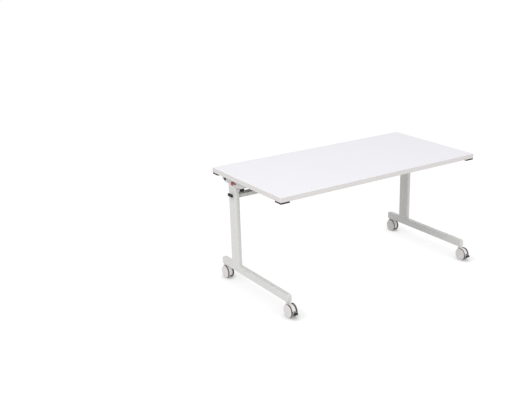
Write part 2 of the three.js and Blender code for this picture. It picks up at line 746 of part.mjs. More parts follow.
// Shouldered pin on the inside of the column for the strut's lower eye
function strutPin() {
  const [near, far] = [STRUT_X + EYE_WIDTH / 2 + RUN, STRUT_X - EYE_WIDTH / 2 - RUN];
  const [y, z] = [STRUT_LOW.x, STRUT_LOW.y];
  return shape(join(
    barX(EYE_R, near, COLUMN_INNER - GAP, y, z),
    barX(STRUT_PIN_R, far - RUN, near + RUN, y, z),
    barX(EYE_R, far - STRUT_PIN_HEAD, far, y, z),
  ));
}

// Grey tyre behind the lip of its disc, drawn on the X axis with its outer face toward +X
function tyre() {
  const inner = WHEEL_R - TYRE_THICK;
  const outer = WHEEL_WIDTH - DISC_LIP - GAP;
  return turnX([
    [inner, 0],
    [WHEEL_R - TYRE_SHOULDER, 0],
    [WHEEL_R, TYRE_SHOULDER],
    [WHEEL_R, outer - TYRE_SHOULDER],
    [WHEEL_R - TYRE_SHOULDER, outer],
    [inner, outer],
    [inner, 0],
  ], WHEEL_SIDES);
}

// Pale wheel disc with a lip over the tyre, a crowned face and a stub axle
function wheelDisc() {
  const seat = WHEEL_R - TYRE_THICK - GAP;
  const lip = WHEEL_R - DISC_SHY;
  const stub = WHEEL_IN - GAP;
  return turnX([
    [0, -stub],
    [AXLE_R, -stub],
    [AXLE_R, 0],
    [seat, 0],
    [seat, WHEEL_WIDTH - DISC_LIP],
    [lip, WHEEL_WIDTH - DISC_LIP],
    [lip, WHEEL_WIDTH - DISC_CROWN],
    [lip - 2 * DISC_CROWN, WHEEL_WIDTH],
    [0, WHEEL_WIDTH + DISC_CROWN / 2],
  ], WHEEL_SIDES);
}

// Side outline of a caster hood: a fender over the axle that draws in to the swivel boss
function hoodOutline(bossLow) {
  const radius = WHEEL_R - HOOD_SHY;
  const start = Math.asin((HOOD_LIFT - WHEEL_R) / radius);
  const path = new THREE.Shape();
  path.absarc(TRAIL, WHEEL_R, radius, start, FENDER_REAR, false);
  path.lineTo(BOSS_R, bossLow);
  path.lineTo(-BOSS_R, bossLow);
  path.absarc(TRAIL, WHEEL_R, radius, FENDER_FRONT, Math.PI - start, false);
  return path;
}

// Forked nose of a braked hood, with the pedal's pin across it
function pedalNose() {
  const half = NOSE_WIDTH / 2;
  const lug = PEDAL_LUG / 2 + RUN;
  const clear = PEDAL_EYE + 2 * RUN;
  const nose = join(
    block(-half, half, TRAIL, PEDAL_Y, PEDAL_Z - PEDAL_EYE, PEDAL_Z + PEDAL_EYE),
    barX(PEDAL_EYE, -half, half, PEDAL_Y, PEDAL_Z),
  );
  const [low, high] = [PEDAL_Z - clear, PEDAL_Z + clear];
  const fork = cut(nose, block(-lug, lug, PEDAL_Y - clear, PEDAL_Y + clear, low, high));
  return shape(fork.add(solid(barX(PEDAL_PIN_R, -half, half, PEDAL_Y, PEDAL_Z, SMALL_SIDES))));
}

// Hood between the two wheels, with its swivel boss and stem
function hood(braked) {
  const half = HOOD_WIDTH / 2;
  const top = FOOT_BOTTOM - RUN;
  const bossLow = top - BOSS_HEIGHT;
  const fender = join(sweepX(hoodOutline(bossLow + RUN), -half, half, HOOD_EDGE, HOOD_STEPS));
  const clear = PEDAL_EYE + 2 * RUN;
  const body = braked
    ? cut(fender, block(-half - RUN, half + RUN, PEDAL_Y - clear, PEDAL_Y, 0, PEDAL_Z + clear))
      .add(solid(pedalNose()))
    : fender;
  const swivel = join(
    barZ(BOSS_R, 0, 0, bossLow, top),
    barZ(STEM_R, 0, 0, bossLow + RUN, FOOT_BOTTOM + STEM_LENGTH),
  );
  const bore = barX(AXLE_R + GAP, -HOOD_WIDTH, HOOD_WIDTH, TRAIL, WHEEL_R);
  return shape(cut(body.add(swivel), bore));
}

// Black brake pedal on the pin in the hood's nose
function brakePedal() {
  const half = PEDAL_LUG / 2;
  const heel = PEDAL_Y + PEDAL_EYE + 2 * RUN;
  const tip = PEDAL_Y + PEDAL_REACH;
  const tread = outline([
    [heel, PEDAL_Z + PEDAL_EYE / 2],
    [heel, PEDAL_Z - PEDAL_SKIRT],
    [heel + PEDAL_EYE / 2, PEDAL_Z - PEDAL_SKIRT],
    [tip, PEDAL_Z - PEDAL_EYE],
    [tip, PEDAL_Z - PEDAL_EYE / 2],
    [heel + PEDAL_EYE / 2, PEDAL_Z + PEDAL_EYE / 2],
  ]);
  const pedal = join(
    barX(PEDAL_EYE, -half, half, PEDAL_Y, PEDAL_Z),
    block(-half, half, PEDAL_Y, heel + PEDAL_EYE / 2, PEDAL_Z - PEDAL_EYE, PEDAL_Z + PEDAL_EYE / 4),
    sweepX(tread, -PEDAL_WIDTH / 2, PEDAL_WIDTH / 2, PEDAL_EDGE),
  );
  return shape(cut(pedal, barX(PEDAL_PIN_R + GAP, -half - RUN, half + RUN, PEDAL_Y, PEDAL_Z, SMALL_SIDES)));
}

// Sets a caster piece, drawn with its trail toward +Y, under the right foot with its trail forward
function underFoot(geometry, front) {
  return geometry.rotateZ(Math.PI).translate(LEG_X, front ? STEM_FRONT : STEM_REAR, 0);
}

// Sets a wheel piece on the inner or outer end of the axle
function onAxle(geometry, side) {
  const placed = geometry.translate(WHEEL_IN, TRAIL, WHEEL_R);
  return side > 0 ? placed : mirrored(placed);
}

// Adds the casters at one end of both feet
function addCasters(end, front) {
  addPair(`${end}_caster_hood`, underFoot(hood(front), front), 'hood');
  for (const [label, side] of [['outer', -1], ['inner', 1]]) {
    addPair(`${end}_${label}_disc`, underFoot(onAxle(wheelDisc(), side), front), 'disc');
    addPair(`${end}_${label}_tyre`, underFoot(onAxle(tyre(), side), front), 'tyre');
  }
  if (front) addPair('brake_pedal', underFoot(brakePedal(), front), 'black');
}

add('top_panel', topPanel(), 'laminate');
add('edge_band', edgeBand(), 'band');
add('backing_sheet', backingSheet(), 'backing');
for (const [end, sideY] of [['front', -1], ['rear', 1]]) {
  addPair(`${end}_corner_pad`, toCorner(cornerPad(), sideY), 'black');
  addPair(`${end}_pad_inlay`, toCorner(padInlay(), sideY), 'red');
}
add('cable_tray', cableTray(), 'black');
addPair('hinge_bracket', hingeBracket(), 'pressed');
addPair('release_knob', releaseKnob(), 'red');
addPair('latch_hook', latchHook(), 'black');
addPair('column', column(), 'paint');
addPair('hinge_head', hingeHead(), 'pressed');
addPair('pivot_pin', pivotPin(), 'steel');
addPair('foot', foot(), 'paint');
add('crossbar', crossbar(), 'paint');
addPair('side_bumper', sideBumper(), 'black');
add('nest_arm', nestArm(), 'pressed');
add('nest_block', nestBlock(), 'black');
addPair('strut_tube', strutTube(), 'black');
addPair('strut_rod', strutRod(), 'rod');
addPair('strut_pin', strutPin(), 'steel');
addCasters('rear', false);
addCasters('front', true);

export default table;
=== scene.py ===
"""Looks of a flip top training table, in metres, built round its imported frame.

The long side runs along X, the user's edge faces -Y and the floor is Z = 0.
"""
import json
import logging
import math
from dataclasses import dataclass
from enum import Enum
from typing import Iterable, Sequence

import bmesh
import bpy
from mathutils import Matrix, Vector


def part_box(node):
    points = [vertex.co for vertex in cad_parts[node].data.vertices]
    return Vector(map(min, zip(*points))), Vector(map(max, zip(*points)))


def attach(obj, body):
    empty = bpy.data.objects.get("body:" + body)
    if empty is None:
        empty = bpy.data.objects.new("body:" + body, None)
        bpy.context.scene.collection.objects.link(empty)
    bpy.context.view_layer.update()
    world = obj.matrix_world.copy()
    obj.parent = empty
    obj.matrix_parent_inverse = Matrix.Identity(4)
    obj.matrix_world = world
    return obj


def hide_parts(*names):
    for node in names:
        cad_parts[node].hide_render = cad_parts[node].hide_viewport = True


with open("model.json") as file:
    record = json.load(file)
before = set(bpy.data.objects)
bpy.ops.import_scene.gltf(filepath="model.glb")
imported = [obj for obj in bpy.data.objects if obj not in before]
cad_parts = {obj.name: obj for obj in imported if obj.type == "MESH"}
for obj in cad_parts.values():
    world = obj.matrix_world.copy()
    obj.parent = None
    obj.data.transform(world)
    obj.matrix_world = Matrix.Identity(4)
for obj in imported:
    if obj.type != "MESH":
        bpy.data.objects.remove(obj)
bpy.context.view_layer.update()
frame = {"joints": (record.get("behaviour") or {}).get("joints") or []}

log = logging.getLogger("training_table")

SHARED_BODIES = ("tabletop", "base")  # bodies without a hand in their names
MM = 0.001
COLUMN_DEPTH = 85 * MM
CLEARANCE = 0.5 * MM  # gap between pieces that move on each other
PLAY = 0.3 * MM  # gap between pieces that fit into each other
CHAMFER = 1 * MM

# Widths of rounded edges, from folded sheet to castings.
FINE_EDGE = 0.4 * MM
EASED_EDGE = 0.6 * MM
SOFT_EDGE = 0.8 * MM
CAST_EDGE = 1.2 * MM
LEAST_ROUND = 0.1 * MM

# Fineness of the meshes.
ROUND_SIDES = 64
PIN_SIDES = 40
SMALL_SIDES = 24
CORNER_STEPS = 8
PROFILE_STEPS = 4
CURVE_STEPS = 16
EDGE_STEPS = 3
FOLD_STEPS = 2
EDGE_ANGLE = math.radians(40)  # sharper edges are rounded
SHARP_ANGLE = math.radians(38)  # sharper edges stay sharp in the shading
EDGE_SHARE = 0.499  # most of an edge that one round may take
CORE = 0.05  # share of its radius at which a turned face stops short of the axis
NEAR = 0.05 * MM  # closer points of an outline count as one
WELD = 0.01 * MM  # closer points are merged after a join or a cut

# Shared values of the finishes.
NOISE_SPREAD = (0.3, 0.7)
DUST_COLOUR = (0.62, 0.60, 0.57)
BUMP_STRENGTH = 0.35
COAT_ROUGHNESS = 0.2

Outline = list[Vector]
Colour = tuple[float, float, float]
Corner = tuple[float, ...]
Socket = bpy.types.NodeSocket
Tree = bpy.types.NodeTree


class Hand(Enum):
    """Sign along an axis that has a word in node and body names."""

    @property
    def word(self) -> str:
        """Name of this member in node and body names."""
        return self.name.lower()


class Side(Hand):
    """Hand of the table, as the sign of X."""

    LEFT = -1
    RIGHT = 1


class End(Hand):
    """End of a foot, as the sign of Y."""

    FRONT = -1
    REAR = 1


class Facing(Enum):
    """Direction that a screw's head looks in."""

    OUT = (1, 0, 0)
    FRONT = (0, -1, 0)
    REAR = (0, 1, 0)
    DOWN = (0, 0, -1)


class Combine(Enum):
    """How two closed forms become one."""

    JOIN = "UNION"
    CUT = "DIFFERENCE"


class Axis(Enum):
    """Direction that a flat outline is carried along, as its place in a point."""

    X = 0
    Y = 1
    Z = 2

    def point(self, along: float, flat_point: Vector) -> Vector:
        """Puts a flat point at a station along this axis.

        Args:
            along: Place on the axis.
            flat_point: Point as (Y, Z) for X, (X, Z) for Y and (X, Y) for Z.

        Returns:
            The point in the table's frame.
        """
        numbers = [flat_point.x, flat_point.y]
        numbers.insert(self.value, along)
        return Vector(numbers)


@dataclass(frozen=True)
class Box:
    """Lowest and highest corner of a CAD node at rest."""

    lo: Vector
    hi: Vector

    @classmethod
    def of(cls, node: str) -> "Box":
        """Reads a node's box from the frame."""
        return cls(*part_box(node))

    @property
    def mid(self) -> Vector:
        """Middle of the box."""
        return (self.lo + self.hi) / 2


@dataclass
class Form:
    """Points and faces of one or more closed shapes."""

    points: list[Vector]
    faces: list[tuple[int, ...]]

    def moved(self, by: Matrix) -> "Form":
        """Returns a copy moved by a matrix."""
        return Form([by @ p for p in self.points], list(self.faces))

    def handed(self, side: Side) -> "Form":
        """Returns this right hand form, or its left hand copy."""
        if side is Side.RIGHT:
            return self
        return self.moved(Matrix.Diagonal((-1.0, 1.0, 1.0, 1.0)))

    def __add__(self, other: "Form") -> "Form":
        """Keeps two forms side by side in one mesh.

        Args:
            other: Form to add.

        Returns:
            Both forms as one.
        """
        start = len(self.points)
        later = [tuple(i + start for i in face) for face in other.faces]
        return Form(self.points + other.points, self.faces + later)

    def shell(self) -> bmesh.types.BMesh:
        """Makes an editable mesh with its faces turned outward.

        Returns:
            The editable mesh, which is freed after use.
        """
        shell = bmesh.new()
        corners = [shell.verts.new(p) for p in self.points]
        for face in self.faces:
            shell.faces.new([corners[i] for i in face])
        bmesh.ops.recalc_face_normals(shell, faces=shell.faces[:])
        return shell

    def mesh(self, name: str) -> bpy.types.Mesh:
        """Makes a Blender mesh of this form.

        Args:
            name: Name of the mesh.

        Returns:
            The mesh, with its faces turned outward.
        """
        shell = self.shell()
        mesh = bpy.data.meshes.new(name)
        shell.to_mesh(mesh)
        shell.free()
        return mesh

    @classmethod
    def from_shell(cls, shell: bmesh.types.BMesh) -> "Form":
        """Reads a form back from an editable mesh and frees it.

        Args:
            shell: Editable mesh.

        Returns:
            Its points and faces.
        """
        shell.verts.index_update()
        points = [v.co.copy() for v in shell.verts]
        faces = [tuple(v.index for v in f.verts) for f in shell.faces]
        shell.free()
        return cls(points, faces)


def placed(name: str, data: bpy.types.ID) -> bpy.types.Object:
    """Makes an object of its data and links it to the scene.

    Args:
        name: Name of the object.
        data: Its mesh, camera or light.

    Returns:
        The linked object.
    """
    made = bpy.data.objects.new(name, data)
    bpy.context.collection.objects.link(made)
    return made


def flat(*pairs: tuple[float, float]) -> Outline:
    """Makes an outline from plain pairs."""
    return [Vector(pair) for pair in pairs]


def arc(
    centre: Vector, radius: float, start: float, end: float, steps: int = CORNER_STEPS
) -> Outline:
    """Draws an arc.

    Args:
        centre: Middle of the arc.
        radius: Radius of the arc.
        start: First angle in radians.
        end: Last angle in radians.
        steps: Number of straight steps.

    Returns:
        The points of the arc, both ends included.
    """
    angles = [start + (end - start) * k / steps for k in range(steps + 1)]
    return [centre + radius * Vector((math.cos(a), math.sin(a))) for a in angles]


def circle(centre: Vector, radius: float, sides: int = PIN_SIDES) -> Outline:
    """Draws an even polygon round a centre."""
    return arc(centre, radius, 0, math.tau, sides)[:-1]


def rounded(
    points: Outline, radius: float | Sequence[float], closed: bool = True, steps: int = CORNER_STEPS
) -> Outline:
    """Rounds the corners of an outline or of an open line.

    Args:
        points: Corners in order.
        radius: One radius, or one for each corner; a corner of radius 0 stays sharp.
        closed: Whether the last corner joins the first.
        steps: Straight steps of each round.

    Returns:
        The points of the rounded line.
    """
    count = len(points)
    radii = [radius] * count if isinstance(radius, (int, float)) else list(radius)
    line: Outline = []
    for i, (corner, size) in enumerate(zip(points, radii)):
        if size <= 0 or (not closed and i in (0, count - 1)):
            line.append(corner.copy())
            continue
        back = points[i - 1] - corner
        ahead = points[(i + 1) % count] - corner
        half = back.angle(ahead) / 2
        longest = EDGE_SHARE * min(back.length, ahead.length)
        reach = min(size / math.tan(half), longest)
        used = reach * math.tan(half)
        inward = (back.normalized() + ahead.normalized()).normalized()
        centre = corner + inward * (used / math.sin(half))
        first = corner + back.normalized() * reach - centre
        last = corner + ahead.normalized() * reach - centre
        start = math.atan2(first.y, first.x)
        sweep = (math.atan2(last.y, last.x) - start + math.pi) % math.tau - math.pi
        line += arc(centre, used, start, start + sweep, steps)
    return line


def swept(points: Outline, steps: int = CURVE_STEPS) -> Outline:
    """Draws a smooth curve from a start to an end, pulled toward the point between them.

    Args:
        points: Start, pull and end.
        steps: Number of straight steps.

    Returns:
        The points of the curve, both ends included.
    """
    start, control, end = points
    shares = [k / steps for k in range(steps + 1)]
    return [start * (1 - t) ** 2 + control * (2 * t * (1 - t)) + end * t**2 for t in shares]


def rectangle(lo: Vector, hi: Vector, radius: float | Sequence[float] = 0.0) -> Outline:
    """Draws a rectangle between two flat corners, with rounded corners where asked."""
    return rounded(flat((lo.x, lo.y), (hi.x, lo.y), (hi.x, hi.y), (lo.x, hi.y)), radius)


def folded(line: Outline, thickness: float) -> Outline:
    """Outline of a folded sheet whose middle follows an open line.

    Args:
        line: Middle of the sheet.
        thickness: Thickness of the sheet.

    Returns:
        The closed outline.
    """
    sharpest = 0.5
    left: Outline = []
    right: Outline = []
    for i, here in enumerate(line):
        before = line[max(i - 1, 0)]
        after = line[min(i + 1, len(line) - 1)]
        along = (after - before).normalized()
        leg = (here - before if i else after - here).normalized()
        reach = thickness / 2 / max(along.dot(leg), sharpest)
        across = Vector((-along.y, along.x)) * reach
        left.append(here + across)
        right.append(here - across)
    return left + right[::-1]


def loft(rings: Sequence[Sequence[Vector]], wrap: bool = False) -> Form:
    """Skins rings of equal count in order.

    Args:
        rings: Rings of points.
        wrap: Whether the last ring joins the first; otherwise both ends are closed.

    Returns:
        The closed form.
    """
    count = len(rings[0])
    points = [p for ring in rings for p in ring]
    faces: list[tuple[int, ...]] = []
    for r in range(len(rings) if wrap else len(rings) - 1):
        a = r * count
        b = ((r + 1) % len(rings)) * count
        for i in range(count):
            j = (i + 1) % count
            faces.append((a + i, a + j, b + j, b + i))
    if not wrap:
        faces.append(tuple(reversed(range(count))))
        faces.append(tuple(range(len(points) - count, len(points))))
    return Form(points, faces)


def softened(form: Form, width: float, steps: int = EDGE_STEPS) -> Form:
    """Rounds the sharp edges of a form.

    Args:
        form: Closed form.
        width: Width of the rounded edge.
        steps: Straight steps of the round.

    Returns:
        The form with soft edges.
    """
    shell = form.shell()
    sharp = [e for e in shell.edges if e.is_manifold and e.calc_face_angle() > EDGE_ANGLE]
    bmesh.ops.bevel(
        shell,
        geom=sharp,
        offset=width,
        offset_type="OFFSET",
        segments=steps,
        profile=0.5,
        affect="EDGES",
        clamp_overlap=True,
    )
    return Form.from_shell(shell)


def prism(
    outline: Outline, lo: float, hi: float, axis: Axis, soft: float = 0.0, steps: int = EDGE_STEPS
) -> Form:
    """Carries an outline straight along an axis.

    Args:
        outline: Closed outline, whose doubled points are left out.
        lo: Place on the axis where the form starts.
        hi: Place on the axis where it ends.
        axis: Direction that the outline is carried along.
        soft: Width of the rounded edges; at 0 they stay sharp.
        steps: Straight steps of a rounded edge.

    Returns:
        The closed form.
    """
    pairs = zip(outline, outline[-1:] + outline[:-1])
    clean = [p for p, before in pairs if (p - before).length > NEAR]
    form = loft([[axis.point(at, p) for p in clean] for at in (lo, hi)])
    return softened(form, soft, steps) if soft else form


def turned(profile: Outline, axis: Axis, centre: Vector, sides: int, wrap: bool = False) -> Form:
    """Turns a profile about an axis.

    Args:
        profile: Points as (radius, place along the axis).
        axis: Direction of the axis.
        centre: Point that the places are counted from.
        sides: Sides of each ring.
        wrap: Whether the profile closes on itself, as a tyre's does.

    Returns:
        The turned form.
    """
    ring = circle(Vector((0, 0)), 1.0, sides)
    return loft([[centre + axis.point(p.y, p.x * c) for c in ring] for p in profile], wrap)


def lathe(axis: Axis, centre: Vector, *corners: Corner, sides: int = PIN_SIDES) -> Form:
    """Turns an open profile with some of its corners rounded.

    Args:
        axis: Direction of the axis.
        centre: Point that the places are counted from.
        *corners: Corners as (radius, place along the axis), with a round as a third number.
        sides: Sides of each ring.

    Returns:
        The turned form.
    """
    line = flat(*(corner[:2] for corner in corners))
    rounds = [sum(corner[2:]) for corner in corners]
    return turned(rounded(line, rounds, False, PROFILE_STEPS), axis, centre, sides)


def nested(
    lo: Vector,
    hi: Vector,
    radius: float | Sequence[float],
    section: Outline,
    axis: Axis = Axis.Z,
    wrap: bool = False,
) -> Form:
    """Stacks round cornered rectangles.

    Args:
        lo: Lowest flat corner of the widest rectangle.
        hi: Highest flat corner of the widest rectangle.
        radius: Corner radius of the widest rectangle, or one radius for each step.
        section: Points as (inset, place along the axis).
        axis: Direction of the stack.
        wrap: Whether the section closes on itself, as an edge band's does.

    Returns:
        The stacked form.
    """
    if isinstance(radius, (int, float)):
        radius = [max(radius - step.x, LEAST_ROUND) for step in section]
    rings = []
    for step, size in zip(section, radius):
        inset = Vector((step.x, step.x))
        ring = rectangle(lo.xy + inset, hi.xy - inset, size)
        rings.append([axis.point(step.y, p) for p in ring])
    return loft(rings, wrap)


def combined(form: Form, others: Iterable[Form], how: Combine) -> Form:
    """Joins forms to a form or cuts them out of it.

    Args:
        form: Form to start from.
        others: Forms to join or to cut out.
        how: Join or cut.

    Returns:
        The combined form.
    """
    body = placed("combined", form.mesh("combined"))
    tools = [placed("tool", other.mesh("tool")) for other in others]
    for tool in tools:
        step = body.modifiers.new("step", "BOOLEAN")
        step.operation = how.value
        step.solver = "EXACT"
        step.object = tool
    bpy.context.view_layer.update()
    shell = bmesh.new()
    shell.from_object(body, bpy.context.evaluated_depsgraph_get())
    for spent in [body, *tools]:
        mesh = spent.data
        bpy.data.objects.remove(spent)
        bpy.data.meshes.remove(mesh)
    bmesh.ops.remove_doubles(shell, verts=shell.verts[:], dist=WELD)
    return Form.from_shell(shell)


def aimed(direction: Vector, at: Vector) -> Matrix:
    """Matrix that turns +Z to a direction and moves the origin to a point."""
    turn = Vector((0, 0, 1)).rotation_difference(direction).to_matrix().to_4x4()
    return Matrix.Translation(at) @ turn


def joint_point(name: str) -> Vector:
    """Point on a hinge's axis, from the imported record."""
    return Vector(next(j["pos_m"] for j in frame["joints"] if j["name"] == name))


def column_corners() -> tuple[Vector, Vector]:
    """Flat corners of the right column without its striker."""
    box = Box.of("right_column")
    return Vector((box.lo.x, box.hi.y - COLUMN_DEPTH)), box.hi.xy


class Wiring:
    """Adds and joins the nodes of one shader tree."""

    def __init__(self, tree: Tree) -> None:
        """Starts on an empty tree."""
        self.tree = tree
        tree.nodes.clear()

    def add(self, kind: str, settings: dict | None = None, **inputs: object) -> bpy.types.Node:
        """Adds a node.

        Args:
            kind: Node type without its ShaderNode prefix, or a full name for a group's ends.
            settings: Properties of the node itself.
            **inputs: Values or sockets for its inputs, with spaces written as underscores.

        Returns:
            The new node.
        """
        node = self.tree.nodes.new(kind if kind.startswith("NodeGroup") else "ShaderNode" + kind)
        for key, value in (settings or {}).items():
            setattr(node, key, value)
        for key, value in inputs.items():
            self.feed(node, key.replace("_", " "), value)
        return node

    def feed(self, node: bpy.types.Node, socket: str | int, value: object) -> None:
        """Sets an input to a value, or joins a socket to it."""
        into = node.inputs[socket]
        if isinstance(value, Socket):
            self.tree.links.new(value, into)
        else:
            into.default_value = value

    def fed(self, kind: str, settings: dict, *values: object) -> bpy.types.Node:
        """Adds a node and feeds its inputs in their order.

        Args:
            kind: Node type without its ShaderNode prefix.
            settings: Properties of the node itself.
            *values: Values or sockets for its first inputs.

        Returns:
            The new node.
        """
        node = self.add(kind, settings)
        for socket, value in enumerate(values):
            self.feed(node, socket, value)
        return node

    def maths(self, operation: str, first: object, second: object) -> Socket:
        """Adds a sum on two values and returns its result."""
        return self.fed("Math", {"operation": operation}, first, second).outputs[0]

    def vectors(self, operation: str, first: object, second: object) -> bpy.types.NodeOutputs:
        """Adds a sum on two vectors and returns its results."""
        return self.fed("VectorMath", {"operation": operation}, first, second).outputs

    def ramp(
        self, value: Socket, lo: float, hi: float, low: float = 0.0, high: float = 1.0
    ) -> Socket:
        """Maps a value from one range to another and returns it."""
        return self.fed("MapRange", {}, value, lo, hi, low, high).outputs[0]

    def mixed(self, share: Socket, first: Socket, second: Socket) -> Socket:
        """Mixes two shaders and returns the result."""
        return self.fed("MixShader", {}, share, first, second).outputs[0]

    def blend(self, share: object, first: object, second: object) -> Socket:
        """Blends two colours and returns the result.

        Args:
            share: Share of the second colour.
            first: Colour at a share of 0.
            second: Colour at a share of 1.

        Returns:
            The blended colour.
        """
        node = self.add("Mix", {"data_type": "RGBA"})
        for socket, value in ((0, share), (6, first), (7, second)):
            self.feed(node, socket, value)
        return node.outputs[2]

    def noise(self, scale: Socket, detail: float, stretch: Socket | None = None) -> Socket:
        """Adds noise in the object's own place, drawn out by a stretch, and returns it.

        Args:
            scale: Scale of the noise.
            detail: Layers of finer noise.
            stretch: How the place is drawn out along each axis.

        Returns:
            The noise, from 0 to 1.
        """
        place = self.add("TexCoord").outputs["Object"]
        if stretch is not None:
            place = self.vectors("MULTIPLY", place, stretch)[0]
        return self.add("TexNoise", Vector=place, Scale=scale, Detail=detail).outputs[0]


class Effect(Enum):
    """Shared surface effects, each one node group."""

    TONE = "tone drift"
    GRAIN = "fine grain"
    WEAR = "edge wear"
    DUST = "settled dust"
    WEAVE = "linen weave"


class EffectLibrary:
    """Builds each shared effect once, with the ranges that its masks are drawn from."""

    RUBBED_EDGE = (0.98, 0.75)
    RUBBED_PATCHES = (0.4, 0.65)
    UPWARD = (0.3, 1.0)
    DUST_PATCHES = (0.35, 0.75)
    THREADS = (0.36, 0.64)
    PRINT_PATCHES = (0.25, 0.75, 0.7, 1.0)

    def __init__(self) -> None:
        """Makes every node group."""
        self.groups = {
            Effect.TONE: self.tone(),
            Effect.GRAIN: self.grain(),
            Effect.WEAR: self.wear(),
            Effect.DUST: self.dust(),
            Effect.WEAVE: self.weave(),
        }

    @staticmethod
    def start(
        effect: Effect, inputs: dict[str, object], *outputs: str
    ) -> tuple[Wiring, bpy.types.NodeOutputs, bpy.types.Node]:
        """Starts a node group.

        Args:
            effect: Effect that the group holds.
            inputs: Input names with their default values.
            *outputs: Output names, where Color is a colour and all others are values.

        Returns:
            The wiring, what the group is given and the group's output node.
        """
        group = bpy.data.node_groups.new(effect.value, "ShaderNodeTree")
        for name, value in inputs.items():
            kind = "Float" if isinstance(value, float) else "Vector"
            kind = "Color" if name == "Color" else kind
            socket = group.interface.new_socket(
                name, in_out="INPUT", socket_type=f"NodeSocket{kind}"
            )
            socket.default_value = value
        for name in outputs:
            kind = "NodeSocketColor" if name == "Color" else "NodeSocketFloat"
            group.interface.new_socket(name, in_out="OUTPUT", socket_type=kind)
        w = Wiring(group)
        return w, w.add("NodeGroupInput").outputs, w.add("NodeGroupOutput")

    def tone(self) -> Tree:
        """Slow drift of a colour and of its gloss over the surface.

        Returns:
            The node group.
        """
        inputs = {"Color": (0.5, 0.5, 0.5, 1.0), "Scale": 6.0, "Amount": 0.05}
        w, given, made = self.start(Effect.TONE, inputs, "Color", "Drift")
        noise = w.noise(given["Scale"], detail=4.0)
        drift = w.ramp(noise, *NOISE_SPREAD, -1.0, 1.0)
        gain = w.maths("ADD", 1.0, w.maths("MULTIPLY", drift, given["Amount"]))
        w.feed(made, "Color", w.vectors("MULTIPLY", given["Color"], gain)[0])
        w.feed(made, "Drift", noise)
        return w.tree

    def grain(self) -> Tree:
        """Fine relief of paint, laminate or moulded plastic.

        Returns:
            The node group.
        """
        inputs = {"Scale": 900.0, "Stretch": (1.0, 1.0, 1.0)}
        w, given, made = self.start(Effect.GRAIN, inputs, "Height")
        height = w.noise(given["Scale"], detail=3.0, stretch=given["Stretch"])
        w.feed(made, "Height", height)
        return w.tree

    def wear(self) -> Tree:
        """Mask that is high on rubbed edges.

        Returns:
            The node group.
        """
        inputs = {"Amount": 0.15, "Radius": 1.2 * MM, "Breakup": 60.0}
        w, given, made = self.start(Effect.WEAR, inputs, "Mask")
        bevel = w.add("Bevel", {"samples": 4}, Radius=given["Radius"]).outputs[0]
        normal = w.add("NewGeometry").outputs["Normal"]
        edge = w.ramp(w.vectors("DOT_PRODUCT", bevel, normal)["Value"], *self.RUBBED_EDGE)
        patch = w.ramp(w.noise(given["Breakup"], detail=5.0), *self.RUBBED_PATCHES)
        rubbed = w.maths("MULTIPLY", edge, patch)
        w.feed(made, "Mask", w.maths("MULTIPLY", rubbed, given["Amount"]))
        return w.tree

    def dust(self) -> Tree:
        """Mask of thin dust on faces that look up.

        Returns:
            The node group.
        """
        inputs = {"Amount": 0.1, "Scale": 35.0}
        w, given, made = self.start(Effect.DUST, inputs, "Mask")
        normal = w.add("NewGeometry").outputs["Normal"]
        upward = w.ramp(w.fed("SeparateXYZ", {}, normal).outputs["Z"], *self.UPWARD)
        patch = w.ramp(w.noise(given["Scale"], detail=6.0), *self.DUST_PATCHES)
        settled = w.maths("MULTIPLY", upward, patch)
        w.feed(made, "Mask", w.maths("MULTIPLY", settled, given["Amount"]))
        return w.tree

    def weave(self) -> Tree:
        """Crossed threads of a linen print, as a mask and a height.

        Returns:
            The node group.
        """
        inputs = {"Scale": 420.0, "Length": 0.06, "Patches": 28.0}
        w, given, made = self.start(Effect.WEAVE, inputs, "Mask", "Height")
        threads = []
        for stretch in ((given["Length"], 1.0, 1.0), (1.0, given["Length"], 1.0)):
            drawn = w.fed("CombineXYZ", {}, *stretch).outputs[0]
            noise = w.noise(given["Scale"], detail=3.0, stretch=drawn)
            threads.append(w.ramp(noise, *self.THREADS))
        crossed = w.maths("MULTIPLY", w.maths("ADD", *threads), 0.5)
        patch = w.ramp(w.noise(given["Patches"], detail=4.0), *self.PRINT_PATCHES)
        w.feed(made, "Mask", w.maths("MULTIPLY", crossed, patch))
        w.feed(made, "Height", crossed)
        return w.tree


